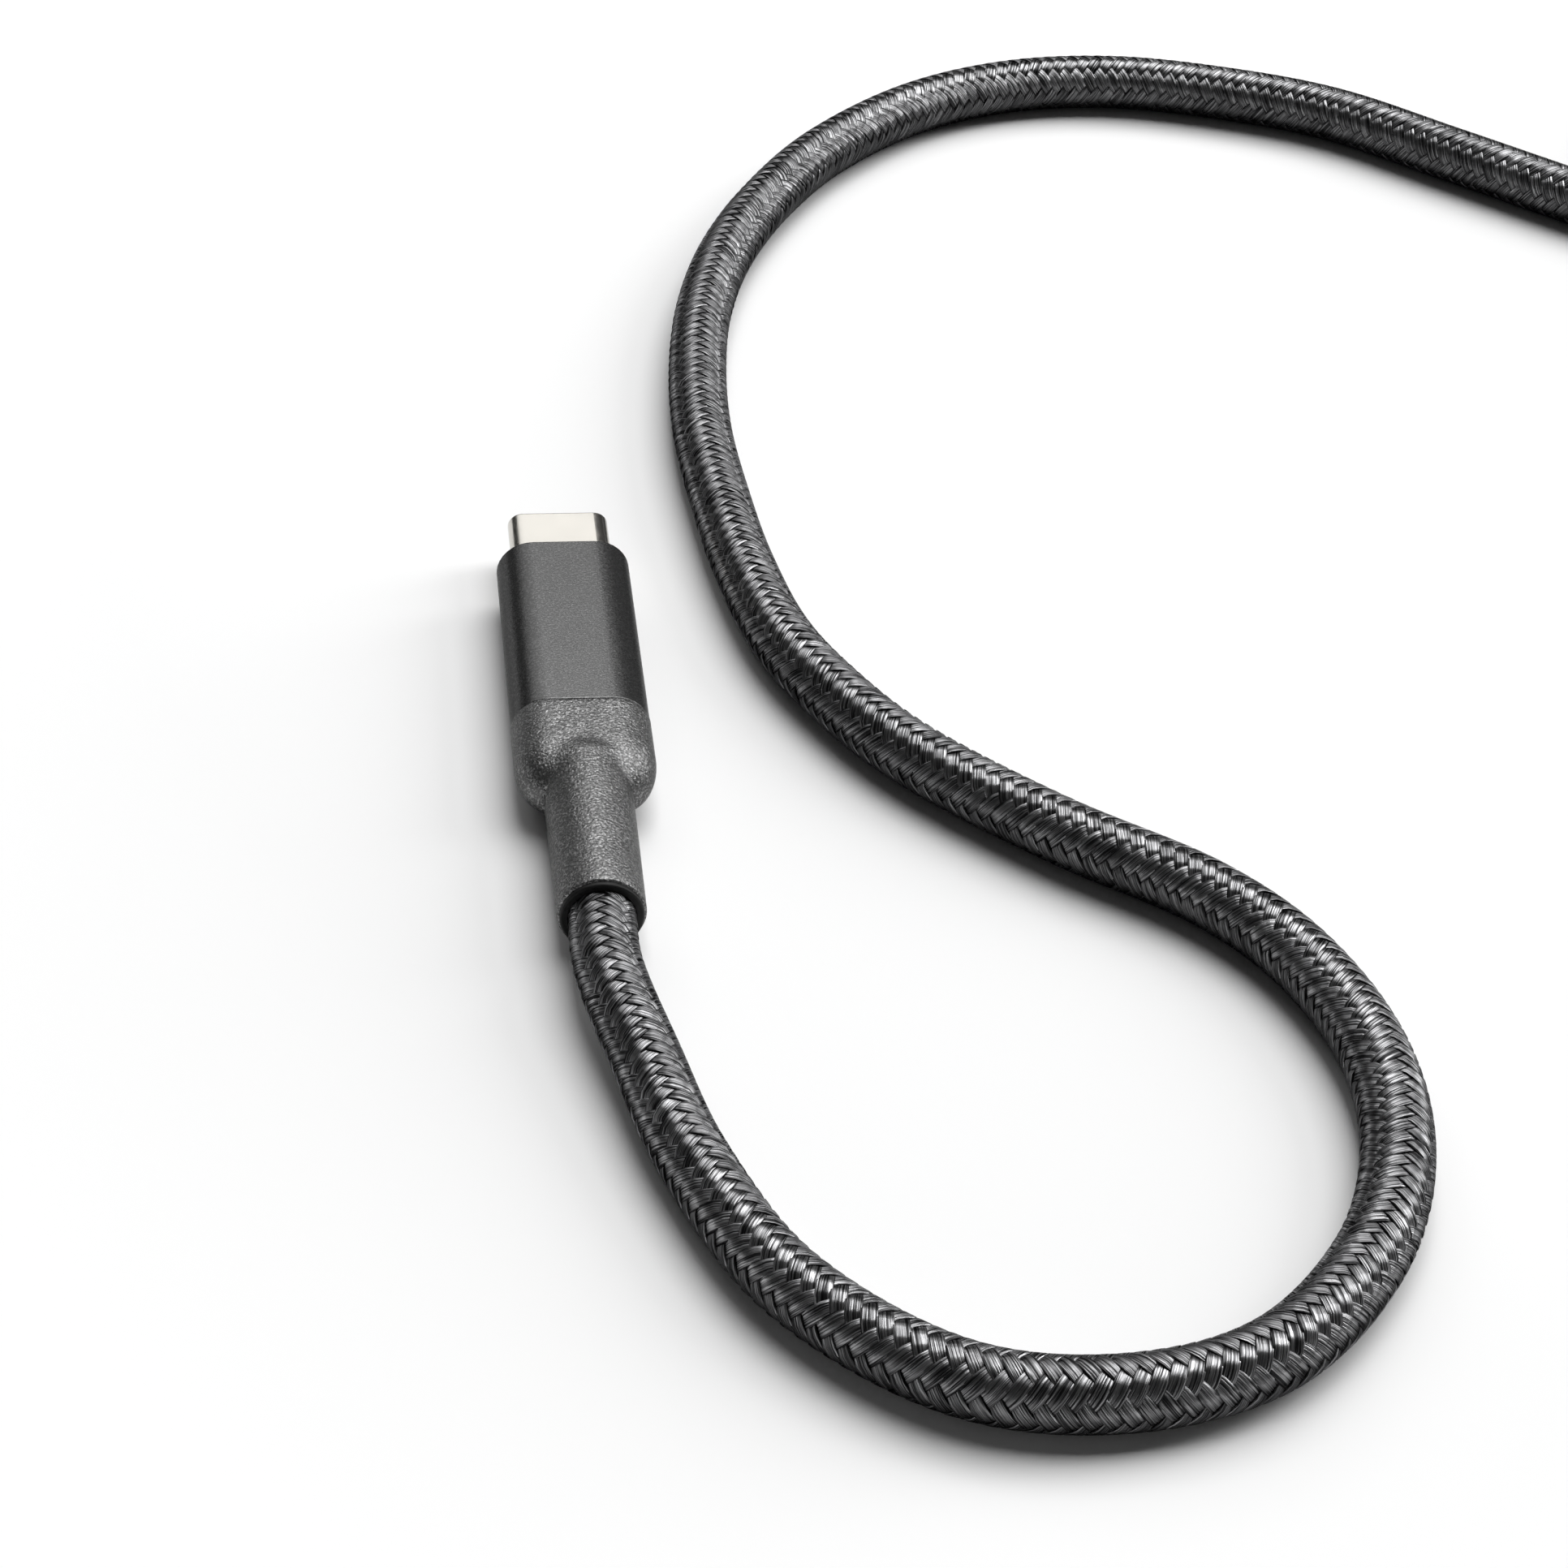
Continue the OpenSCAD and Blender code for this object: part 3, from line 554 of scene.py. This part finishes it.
def grain_group():
    """Fine moulded or blasted grain, with a sparse speckle and a slow mottle."""
    tree, given, out = node_group(
        "Fine Grain", {"Place": None, "Size": 0.0002, "Speckle Size": 0.0003},
        ("Height", "Speckle", "Mottle"),
    )
    fine = add(tree, "ShaderNodeTexNoise", {
        "Vector": given["Place"], "Scale": calc(tree, "DIVIDE", 1.0, given["Size"]), "Detail": 3.0
    })
    dots = add(tree, "ShaderNodeTexNoise", {
        "Vector": given["Place"], "Scale": calc(tree, "DIVIDE", 1.0, given["Speckle Size"]),
        "Detail": 0.0,
    })
    slow = add(tree, "ShaderNodeTexNoise", {
        "Vector": given["Place"], "Scale": calc(tree, "DIVIDE", 0.08, given["Size"]), "Detail": 2.0
    })
    tree.links.new(fine.outputs[0], out["Height"])
    tree.links.new(between(tree, dots.outputs[0], 0.52, 0.64, 0.0, 1.0), out["Speckle"])
    tree.links.new(slow.outputs[0], out["Mottle"])
    return tree


def filament_group():
    """Fine lines along a tow, from its UV map: across in X, along in Y."""
    tree, given, out = node_group(
        "Filaments", {"Place": None, "Lines": 12.0, "Wander": 0.5}, ("Height", "Tone")
    )
    stretched = vector(
        tree, "MULTIPLY", given["Place"],
        add(tree, "ShaderNodeCombineXYZ", {"X": given["Lines"], "Y": given["Wander"]}).outputs[0],
    )
    lines = add(tree, "ShaderNodeTexNoise", {"Vector": stretched, "Scale": 1.0, "Detail": 2.0})
    tone = add(tree, "ShaderNodeTexNoise", {"Vector": stretched, "Scale": 0.37, "Detail": 1.0})
    tree.links.new(lines.outputs[0], out["Height"])
    tree.links.new(tone.outputs[0], out["Tone"])
    return tree


def grained(
    name, colour, grain, size, depth, rough=0.5, spread=0.1, light=1.3, speckle=0.0,
    speckle_size=None, dot_light=3, **looks,
):
    """A plain moulded, cast or drawn finish with grain in its bump, colour and roughness."""
    made, tree, shader = material(name)
    place = add(tree, "ShaderNodeTexCoord").outputs["Object"]
    group = add(tree, "ShaderNodeGroup", node_tree=grain)
    tree.links.new(place, group.inputs["Place"])
    group.inputs["Size"].default_value = size
    group.inputs["Speckle Size"].default_value = speckle_size or 2 * size
    tint = between(tree, group.outputs["Mottle"], 0.35, 0.65, 0.0, 1.0)
    base = blend_colour(tree, tint, rgba(colour, 1 / light**0.5), rgba(colour, light**0.5))
    if speckle:
        dots = calc(tree, "MULTIPLY", group.outputs["Speckle"], speckle)
        base = blend_colour(tree, dots, base, rgba(colour, dot_light))
    tree.links.new(base, shader.inputs["Base Color"])
    tree.links.new(
        between(tree, group.outputs["Height"], 0.3, 0.7, rough - spread, rough + spread),
        shader.inputs["Roughness"],
    )
    bump = add(tree, "ShaderNodeBump", {"Height": group.outputs["Height"], "Distance": depth})
    tree.links.new(bump.outputs[0], shader.inputs["Normal"])
    for key, value in looks.items():
        shader.inputs[key.replace("_", " ").title().replace("Ior", "IOR")].default_value = value
    return made


def braid_material(colours, filaments):
    """Dark nylon with filaments along each tow and painted shade on its undersides; the base
    colour is how much each mirrors.
    """
    made, tree, shader = material("Braid Nylon")
    place = add(tree, "ShaderNodeUVMap", uv_map="UVMap").outputs[0]
    group = add(tree, "ShaderNodeGroup", node_tree=filaments)
    tree.links.new(place, group.inputs["Place"])
    group.inputs["Lines"].default_value = 11.0
    group.inputs["Wander"].default_value = 0.35
    lines = between(tree, group.outputs["Height"], 0.4, 0.65, 0.0, 1.0)
    tone = between(tree, group.outputs["Tone"], 0.3, 0.6, 0.5, 1.0)
    bright = calc(tree, "MULTIPLY", lines, tone)
    base = blend_colour(tree, bright, rgba(colours.braid), rgba(colours.filament))
    # Painted shade: where the surface faces down, the colour is blended towards a darker braid
    # colour, so the undersides look shaded
    facing = add(tree, "ShaderNodeNewGeometry").outputs["Normal"]
    height = add(tree, "ShaderNodeSeparateXYZ", {0: facing}).outputs["Z"]
    painted_underside_shade = between(tree, height, 0.05, 0.5, 0.65, 0.0)
    base = blend_colour(tree, painted_underside_shade, base, rgba(colours.braid, 0.5))
    tree.links.new(base, shader.inputs["Base Color"])
    tree.links.new(
        between(tree, group.outputs["Height"], 0.3, 0.7, 0.38, 0.26), shader.inputs["Roughness"]
    )
    bump = add(
        tree, "ShaderNodeBump", {"Height": group.outputs["Height"], "Distance": 0.00008}
    )
    tree.links.new(bump.outputs[0], shader.inputs["Normal"])
    across = add(tree, "ShaderNodeTangent", direction_type="UV_MAP", uv_map="UVMap")
    tree.links.new(across.outputs[0], shader.inputs["Tangent"])
    shader.inputs["Anisotropic"].default_value = 0.9
    shader.inputs["Metallic"].default_value = 0.9
    shader.inputs["Specular Tint"].default_value = (0.25, 0.25, 0.25, 1)
    return made


def strap_material(colours):
    """Woven band with ribs along it, plain edges and a soft nap, its colour painted darker in the
    weave's hollows and lighter on its tops and edges.
    """
    made, tree, shader = material("Strap Cloth")
    place = add(tree, "ShaderNodeUVMap", uv_map="UVMap").outputs[0]
    spot = add(tree, "ShaderNodeSeparateXYZ", {0: place})
    ribs = calc(tree, "SINE", calc(tree, "MULTIPLY", spot.outputs["X"], STRAP_RIBS * TAU))
    picks = calc(tree, "SINE", calc(tree, "MULTIPLY", spot.outputs["Y"], PICKS_PER_MM * TAU))
    weave = calc(tree, "MULTIPLY_ADD", calc(tree, "MULTIPLY", ribs, picks), 0.5, 0.5)
    square = vector(tree, "MULTIPLY", place, (TIE_W / MM, 1, 1))
    nap = add(tree, "ShaderNodeTexNoise", {"Vector": square, "Scale": 4.0, "Detail": 3.0})
    from_edge = calc(tree, "ABSOLUTE", calc(tree, "SUBTRACT", spot.outputs["X"], 0.5))
    edge = between(tree, from_edge, 0.43, 0.45, 0.0, 1.0)
    height = calc(tree, "MULTIPLY_ADD", nap.outputs[0], 0.6, weave)
    height = calc(tree, "MULTIPLY_ADD", edge, 0.8, height)
    # Painted shade and light: the colour follows the relief, darker in the weave's hollows and
    # lighter on its raised ribs and edges
    tone = between(tree, height, 0.3, 1.4, 0.0, 1.0)
    base = blend_colour(tree, tone, rgba(colours.strap, 0.3), rgba(colours.strap, 1.8))
    tree.links.new(base, shader.inputs["Base Color"])
    tree.links.new(between(tree, nap.outputs[0], 0.3, 0.7, 0.7, 0.9), shader.inputs["Roughness"])
    bump = add(tree, "ShaderNodeBump", {"Height": height, "Distance": 0.0002})
    tree.links.new(bump.outputs[0], shader.inputs["Normal"])
    shader.inputs["Sheen Weight"].default_value = 0.3
    return made


def paint(name, made):
    """Gives a CAD node that stays its finish."""
    NODES[name].data.materials.clear()
    NODES[name].data.materials.append(made)


# Settings


class CableSizes(PropertyGroup):
    """Sizes of the braid and the skins."""

    pitch: FloatProperty(
        name="Braid pitch", description="Length of cord in which a tow goes round once",
        default=0.0096, unit="LENGTH",
    )
    tow_width: FloatProperty(
        name="Tow width", description="Width of one flat tow", default=0.00115, unit="LENGTH"
    )
    tow_thickness: FloatProperty(
        name="Tow thickness", description="Thickness of one flat tow", default=0.00018,
        unit="LENGTH",
    )
    rise: FloatProperty(
        name="Rise", description="How far a tow's middle rises and falls from its mean",
        default=0.00015, unit="LENGTH",
    )
    swell: FloatProperty(
        name="Swell", description="Share by which a tow is wider on top and narrower below",
        default=0.05, subtype="FACTOR",
    )
    samples: IntProperty(
        name="Samples in a wave", description="Points on a tow for one over and under",
        default=8, min=6, max=16,
    )


class CableColours(PropertyGroup):
    """Colours of the finishes."""

    braid: FloatVectorProperty(
        name="Braid", description="Colour of the nylon", subtype="COLOR",
        default=(0.025, 0.025, 0.026),
    )
    filament: FloatVectorProperty(
        name="Filament", description="Colour of the nylon's brightest filaments",
        subtype="COLOR", default=(0.5, 0.5, 0.51),
    )
    boot: FloatVectorProperty(
        name="Boot", description="Colour of the rubber", subtype="COLOR",
        default=(0.125, 0.125, 0.125),
    )
    housing: FloatVectorProperty(
        name="Housing", description="Colour of the anodised metal", subtype="COLOR",
        default=(0.095, 0.095, 0.095),
    )
    shell: FloatVectorProperty(
        name="Shell", description="Colour of the plating", subtype="COLOR",
        default=(0.56, 0.54, 0.50),
    )
    strap: FloatVectorProperty(
        name="Strap", description="Colour of the tie's band", subtype="COLOR",
        default=(0.022, 0.022, 0.024),
    )
    floor: FloatVectorProperty(
        name="Floor", description="Colour of the floor", subtype="COLOR",
        default=(0.97, 0.97, 0.97),
    )


# Operators


class CABLE_OT_cord(Operator):
    """Makes the cord: its core, painted near black as shade in the gaps between tows, and the tows
    of its braid, over the run, coil and lead
    """

    bl_idname = "cable.cord"
    bl_label = "Cord"

    def execute(self, context):
        sizes, colours = context.scene.cable_sizes, context.scene.cable_colours
        line, run_end, coil_end = cord_line()
        length = measured(line)[-1]
        nylon = braid_material(colours, filament_group())
        # Painted shade: the core under the tows is near black, so the gaps between tows look
        # shaded
        dark = grained(
            "Braid Gap Shade", (0.004, 0.004, 0.004), bpy.data.node_groups["Fine Grain"], 0.0002,
            0.00004, rough=0.85,
        )

        inner = even(line, 2 * MM)
        core = self.core(inner, CORD_D / 2 - sizes.tow_thickness - 2 * sizes.rise)
        core.data.materials.append(dark)
        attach(core, "root")
        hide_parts("cord_run", "cord_coil", "cord_lead")

        inside = SLEEVE_LEN - BRAID_SHORT
        base, start = self.guide(line, inside)
        tree = braid_tree()
        middle = CORD_D / 2 - sizes.tow_thickness / 2 - sizes.rise
        lean = math.atan(TAU * middle / sizes.pitch)
        slant = WAVES_IN_PITCH * TAU / sizes.pitch * math.cos(lean) / math.tan(2 * lean)
        slant = slant * sizes.tow_width / 2
        # Each part's start and end, points in a wave and sides of a tow, fewer out of view
        for part, first, last, dense, around in (
            ("run", 0, start + run_end, sizes.samples, 10),
            ("coil", start + run_end, start + coil_end, 6, 6),
            ("lead", start + coil_end, start + length + inside, 6, 6),
        ):
            waves = (last - first) / sizes.pitch * WAVES_IN_PITCH
            for hand, side in (("right", 1.0), ("left", -1.0)):
                piece = grown(tree, f"braid_{part}_{hand}", base, {
                    "Start": float(first), "End": float(last), "Hand": side,
                    "Samples": int(waves * dense), "Sides": around, "Pitch": sizes.pitch,
                    "Radius": middle, "Rise": sizes.rise, "Swell": sizes.swell,
                    "Slant": slant, "Tow Width": sizes.tow_width,
                    "Tow Thickness": sizes.tow_thickness, "Material": nylon,
                })
                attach(piece, "root")
        bpy.data.objects.remove(base)
        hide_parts("near_braid_end")
        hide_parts("far_braid_end")
        return {"FINISHED"}

    @staticmethod
    def guide(line, inside):
        """The braid's line, which goes on inside the sleeves, and where the bare cord starts."""
        ways = np.arange(inside, 0, -MM)[:, None] * np.array([[0, 1, 0]])
        whole = np.vstack([line[0] + ways, line, line[-1] - ways[::-1]])
        start = measured(whole)[len(ways)]
        mesh = bpy.data.meshes.new("Line")
        mesh.from_pydata(
            [tuple(p) for p in whole], [(i, i + 1) for i in range(len(whole) - 1)], []
        )
        at, facing = np.array(RIB_ANGLES, float).T
        turns = np.interp(measured(whole) - start, at * MM, np.radians(RIB_REST - facing))
        mesh.attributes.new("Turn", "FLOAT", "POINT").data.foreach_set("value", turns)
        return scene_object("Line", mesh), start

    @staticmethod
    def core(line, radius, sides=12):
        """The cord's inside, a plain round tube along its line."""
        ahead = np.gradient(line, axis=0)
        ahead /= np.linalg.norm(ahead, axis=1)[:, None]
        right = np.cross(ahead, [0, 0, 1])
        right /= np.linalg.norm(right, axis=1)[:, None]
        up = np.cross(right, ahead)
        angles = np.arange(sides) * TAU / sides
        rings = [
            [p + radius * (math.cos(a) * r + math.sin(a) * u) for a in angles]
            for p, r, u in zip(line, right, up)
        ]
        mesh = outward(ring_mesh("cord_core", rings))
        smooth(mesh)
        return scene_object("cord_core", mesh)


class CABLE_OT_boots(Operator):
    """Makes the two rubber boots, with rounded shoulders that flow into the barrel"""

    bl_idname = "cable.boots"
    bl_label = "Boots"

    def execute(self, context):
        rubber = grained(
            "Boot Rubber", context.scene.cable_colours.boot, bpy.data.node_groups["Fine Grain"],
            0.0002, 0.0001, rough=0.28, spread=0.06, light=1.15, speckle=1.0,
            speckle_size=0.00017, dot_light=2.2, ior=1.6, metallic=0.75,
            specular_tint=(0.3, 0.3, 0.3, 1),
        )
        sides = 128
        angles = [TAU * k / sides for k in range(sides)]

        def ring(y, reach):
            """A ring at a station, as far from the axis as the function says."""
            return [(reach(a) * math.cos(a), y, reach(a) * math.sin(a)) for a in angles]

        stations = [FLANGE_LEN + LIP * (1 - math.cos(math.radians(a))) for a in range(0, 91, 15)]
        stations += list(np.linspace(stations[-1], BARREL_LEN, 12)[1:])
        stations += [
            SHOULDER_END - SHOULDER_LEN * math.sin(math.radians(a)) for a in range(85, -1, -5)
        ]
        stations += list(np.linspace(SHOULDER_END, BOOT_LEN - LIP / 2, 12)[1:])
        rings = [ring(y, lambda a, y=y: self.reach(y, a)) for y in stations]
        rings.append(ring(BOOT_LEN, lambda a: self.reach(BOOT_LEN, a) - JOINT_EDGE))
        for y in (BOOT_LEN, CAVITY_START):
            rings.append(ring(y, lambda a: slot_reach(a, CAVITY_W, CAVITY_H)))
        for y, r in (
            (CAVITY_START, CORE_R), (SLEEVE_LEN, CORE_R), (SLEEVE_LEN, SLEEVE_R),
            (FLANGE_LEN, SLEEVE_R),
        ):
            rings.append(ring(y, lambda a, r=r: r))
        for end in ("near", "far"):
            made = plug_skin(f"{end}_boot_skin", rings, end, rubber)
            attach(made, "root")
            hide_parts(f"{end}_boot")
        return {"FINISHED"}

    @staticmethod
    def reach(y, a):
        """Distance from the axis to the boot's skin."""
        taper = BARREL_END_R + (BARREL_R - BARREL_END_R) * min(1, y / BARREL_LEN)
        near_end = max(0, 1 - (y - FLANGE_LEN) / LIP)
        rounding = LIP * (1 - math.sqrt(max(0, 1 - near_end**2)))
        fade = ease((y - BARREL_LEN - RIDGE_STEP) / RIDGE_FALL)
        sunk = BOOT_H / 2 - BLEND - RIDGE_SINK
        barrel = (taper - rounding) * (1 - fade) + sunk * fade
        if y <= BARREL_LEN:
            return barrel
        t = min(1, max(0, (SHOULDER_END - y) / SHOULDER_LEN))
        drop = SHOULDER_ROUND * (1 - math.sqrt(max(0, 1 - t * t)))
        body = slot_reach(a, BOOT_W - 2 * drop, BOOT_H - 2 * drop)
        return soft_max(body, barrel, BLEND)


class CABLE_OT_housings(Operator):
    """Makes the two aluminium housings, with a rounded front and a fine step at the boot"""

    bl_idname = "cable.housings"
    bl_label = "Housings"

    def execute(self, context):
        metal = grained(
            "Anodised Metal", context.scene.cable_colours.housing,
            bpy.data.node_groups["Fine Grain"], 0.00014, 0.000012, rough=0.28, spread=0.06,
            light=1.06, metallic=0.85, speckle=0.6, speckle_size=0.00018, dot_light=1.6,
            specular_tint=(0.3, 0.3, 0.3, 1),
        )
        stations = [(BOOT_LEN, JOINT_EDGE)]
        for a in (0.5, 1.0, math.pi / 2):
            inset = JOINT_EDGE * (1 - math.sin(a))
            stations.append((BOOT_LEN + JOINT_EDGE * (1 - math.cos(a)), inset))
        first, last = BOOT_LEN + 2 * JOINT_EDGE, HOUSING_END - 1.2 * HOUSING_EDGE
        stations += [(y, 0.0) for y in np.linspace(first, last, 10)]
        for a in np.linspace(0, math.pi / 2, 7):
            inset = HOUSING_EDGE * (1 - math.cos(a))
            stations.append((HOUSING_END - HOUSING_EDGE + HOUSING_EDGE * math.sin(a), inset))
        rings = [slot_ring(HOUSING_W, HOUSING_H, y, inset) for y, inset in stations]
        opening = (SHELL_W + 2 * WELD_GAP, SHELL_H + 2 * WELD_GAP)
        rings.append(slot_ring(*opening, HOUSING_END))
        rings.append(slot_ring(*opening, CAVITY_END))
        rings.append(slot_ring(CAVITY_W, CAVITY_H, CAVITY_END))
        rings.append(slot_ring(CAVITY_W, CAVITY_H, BOOT_LEN))
        for end in ("near", "far"):
            made = plug_skin(f"{end}_housing_skin", rings, end, metal)
            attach(made, "root")
            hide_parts(f"{end}_housing")
        return {"FINISHED"}


class CABLE_OT_inner_parts(Operator):
    """Gives the shells and the parts inside the plugs their finishes"""

    bl_idname = "cable.inner_parts"
    bl_label = "Shells and inner parts"

    def execute(self, context):
        grain = bpy.data.node_groups["Fine Grain"]
        colours = context.scene.cable_colours
        finishes = {
            "shell": grained(
                "Nickel Plate", colours.shell, grain, 0.0003, 0.0000006, rough=0.2, spread=0.03,
                light=1.05, metallic=1.0,
            ),
            "sleeve": grained(
                "Sleeve Rubber", (0.01, 0.01, 0.01), grain, 0.0002, 0.000004, rough=0.5, ior=1.3,
            ),
        }
        for title, (colour, size, depth, rough, metallic, parts) in INNER_FINISHES.items():
            made = grained(title, colour, grain, size, depth, rough=rough, metallic=metallic)
            finishes.update(dict.fromkeys(parts, made))
        for end in ("near", "far"):
            for name, made in finishes.items():
                paint(f"{end}_{name}", made)
        return {"FINISHED"}


class CABLE_OT_tie(Operator):
    """Makes the strap round the coil"""

    bl_idname = "cable.tie"
    bl_label = "Tie"

    def execute(self, context):
        path = self.path()
        at = measured(path)
        ahead = np.gradient(path, axis=0)
        ahead /= np.linalg.norm(ahead, axis=1)[:, None]
        a = math.radians(TIE_ANGLE)
        out, wide = np.array([math.cos(a), math.sin(a)]), np.array([-math.sin(a), math.cos(a), 0])
        section = self.section()
        rings = []
        for p, (ar, az), run in zip(path, ahead, at):
            end = min(run, at[-1] - run, TIE_CORNER)
            narrower = TIE_CORNER - math.sqrt(TIE_CORNER**2 - (TIE_CORNER - end) ** 2)
            width = TIE_W / 2 - narrower
            ring = []
            for across, thick in section:
                r, z = p[0] - thick * az, p[1] + thick * ar
                middle = np.array([COIL_CENTRE[0] + r * out[0], COIL_CENTRE[1] + r * out[1], z])
                ring.append(middle + across * width * wide)
            rings.append(ring)
        mesh = outward(ring_mesh("tie_strap", rings))
        smooth(mesh)
        sides = len(section)
        places = mesh.uv_layers.new(name="UVMap").data
        for loop, place in zip(mesh.loops, places):
            ring, k = divmod(loop.vertex_index, sides)
            place.uv = (section[k][0] / 2 + 0.5, at[ring] * TO_MM)
        mesh.materials.append(strap_material(context.scene.cable_colours))
        made = scene_object("tie_strap", mesh)
        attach(made, "root")
        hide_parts("tie")
        return {"FINISHED"}

    @staticmethod
    def section(steps=5, flat=8):
        """The strap's section: places across it from -1 to 1, and through it in metres."""
        half = TIE_T / 2
        rim = half / (TIE_W / 2)
        points = []
        for side in (1, -1):
            for k in range(steps):
                a = -math.pi / 2 + math.pi * k / (steps - 1)
                points.append((side * (1 - rim + rim * math.cos(a)), side * half * math.sin(a)))
            for k in range(1, flat):
                points.append((side * (1 - rim) * (1 - 2 * k / flat), side * half))
        return points

    @staticmethod
    def path():
        """The strap's middle line, as distance from the coil's middle and height: from the tip of
        its tail inwards under the cord, round it and out over the tail again."""
        centres = []
        for i in range(math.ceil(COIL_TURNS) + 1):
            turn = (TIE_ANGLE - COIL_START_ANGLE) / 360 + i
            if 0 < turn < COIL_TURNS:
                x, y, z = coil_point(turn)
                centres.append((math.hypot(x - COIL_CENTRE[0], y - COIL_CENTRE[1]), z))
        centres = np.array(centres)
        reach = CORD_D / 2 + TIE_GAP + TIE_T / 2
        tail = centres[:, 0].max()
        points = [(tail + TIE_TAIL, TIE_T / 2), (tail + TIE_TAIL / 2, TIE_T / 2)]
        for angle in range(-90, -336, -6):
            a = math.radians(angle)
            u = np.array([math.cos(a), math.sin(a)])
            points.append(tuple(centres[(centres @ u).argmax()] + reach * u))
        # Down over the outer turn and along the tail
        above = 1.5 * TIE_T + TAIL_GAP
        points += [
            (tail + 4.2 * MM, 3 * MM), (tail + 5 * MM, 1.7 * MM), (tail + 6.5 * MM, above),
            (tail + TIE_TAIL - MM, above),
        ]
        flat = np.array([(*p, 0) for p in points])
        return curve_through(flat, 0.4 * MM)[:, :2]


class CABLE_OT_stage(Operator):
    """Makes the pale floor, the soft lights and the camera"""

    bl_idname = "cable.stage"
    bl_label = "Stage"

    def execute(self, context):
        scene = context.scene
        scene.view_settings.view_transform = "Standard"
        colour = scene.cable_colours.floor
        floor, tree, shader = material("Floor")
        shader.inputs["Base Color"].default_value = (*colour, 1)
        shader.inputs["Roughness"].default_value = 1
        shader.inputs["Specular IOR Level"].default_value = 0
        # Away from the cable the lamps' light falls off, so there the floor's white takes over
        place = add(tree, "ShaderNodeTexCoord").outputs["Object"]
        away = add(
            tree, "ShaderNodeVectorMath", {0: place, 1: VIEW_MIDDLE}, operation="DISTANCE"
        )
        far = between(tree, away.outputs["Value"], WHITE_START, WHITE_END, 0.0, 1.0)
        glow = add(
            tree, "ShaderNodeEmission", {"Strength": calc(tree, "MULTIPLY", self.seen(tree), far)}
        )
        both = add(tree, "ShaderNodeAddShader", {0: shader.outputs[0], 1: glow.outputs[0]})
        tree.links.new(both.outputs[0], tree.nodes["Material Output"].inputs["Surface"])
        mesh = bpy.data.meshes.new("floor")
        signs = ((-1, -1), (1, -1), (1, 1), (-1, 1))
        corners = [(FLOOR_HALF * x, FLOOR_HALF * y, 0) for x, y in signs]
        mesh.from_pydata(corners, [], [(0, 1, 2, 3)])
        mesh.materials.append(floor)
        scene_object("floor", mesh)

        world = bpy.data.worlds.new("Studio")
        world.use_nodes = True
        scene.world = world
        back = world.node_tree.nodes["Background"]
        back.inputs["Color"].default_value = (1, 1, 1, 1)
        back.inputs["Strength"].default_value = WORLD_LIGHT
        for lamp in LAMPS:
            self.lamp(*lamp)

        lens = bpy.data.cameras.new("Camera")
        lens.lens, lens.sensor_width, lens.shift_x = LENS, SENSOR, LENS_SHIFT
        lens.clip_start, lens.clip_end = NEAREST, FARTHEST
        camera = scene_object("Camera", lens)
        camera.location = CAMERA_PLACE
        camera.rotation_euler = (math.radians(90 - CAMERA_DIP), 0, math.radians(-CAMERA_TURN))
        scene.camera = camera
        return {"FINISHED"}

    @staticmethod
    def seen(tree):
        """1 where the camera sees a surface, directly or in metal or glass."""
        path = add(tree, "ShaderNodeLightPath").outputs
        direct = calc(tree, "MAXIMUM", path["Is Camera Ray"], path["Is Glossy Ray"])
        return calc(tree, "MAXIMUM", direct, path["Is Transmission Ray"])

    @staticmethod
    def lamp(name, place, target, width, height, power):
        """Adds a soft rectangular lamp that faces a point."""
        light = bpy.data.lights.new(name, "AREA")
        light.shape = "RECTANGLE"
        light.size, light.size_y, light.energy = width, height, power
        made = scene_object(name, light)
        made.location = place
        aim = np.array(place) - np.array(target)
        flat = math.hypot(aim[0], aim[1])
        made.rotation_euler = (math.atan2(flat, aim[2]), 0, math.atan2(aim[0], -aim[1]))


class CABLE_PT_parts(Panel):
    """Lists what can be made, with its sizes and colours"""

    bl_idname = "CABLE_PT_parts"
    bl_label = "Charging Cable"
    bl_space_type = "VIEW_3D"
    bl_region_type = "UI"
    bl_category = "Cable"

    def draw(self, context):
        column = self.layout.column()
        for group in (context.scene.cable_sizes, context.scene.cable_colours):
            for key in group.__annotations__:
                column.prop(group, key)
        for maker in MAKERS:
            column.operator(maker.bl_idname)


MAKERS = (
    CABLE_OT_stage, CABLE_OT_boots, CABLE_OT_housings, CABLE_OT_inner_parts, CABLE_OT_tie,
    CABLE_OT_cord,
)
CLASSES = (CableSizes, CableColours, *MAKERS, CABLE_PT_parts)


def register():
    """Adds the panel, the operators and the settings to Blender."""
    for item in CLASSES:
        bpy.utils.register_class(item)
    bpy.types.Scene.cable_sizes = PointerProperty(type=CableSizes)
    bpy.types.Scene.cable_colours = PointerProperty(type=CableColours)


def unregister():
    """Takes the panel, the operators and the settings out again."""
    del bpy.types.Scene.cable_sizes
    del bpy.types.Scene.cable_colours
    for item in reversed(CLASSES):
        bpy.utils.unregister_class(item)


def main():
    """Makes everything in order."""
    register()
    grain_group()
    bpy.ops.cable.stage()
    bpy.ops.cable.boots()
    bpy.ops.cable.housings()
    bpy.ops.cable.inner_parts()
    bpy.ops.cable.tie()
    bpy.ops.cable.cord()


if __name__ == "__main__":
    main()
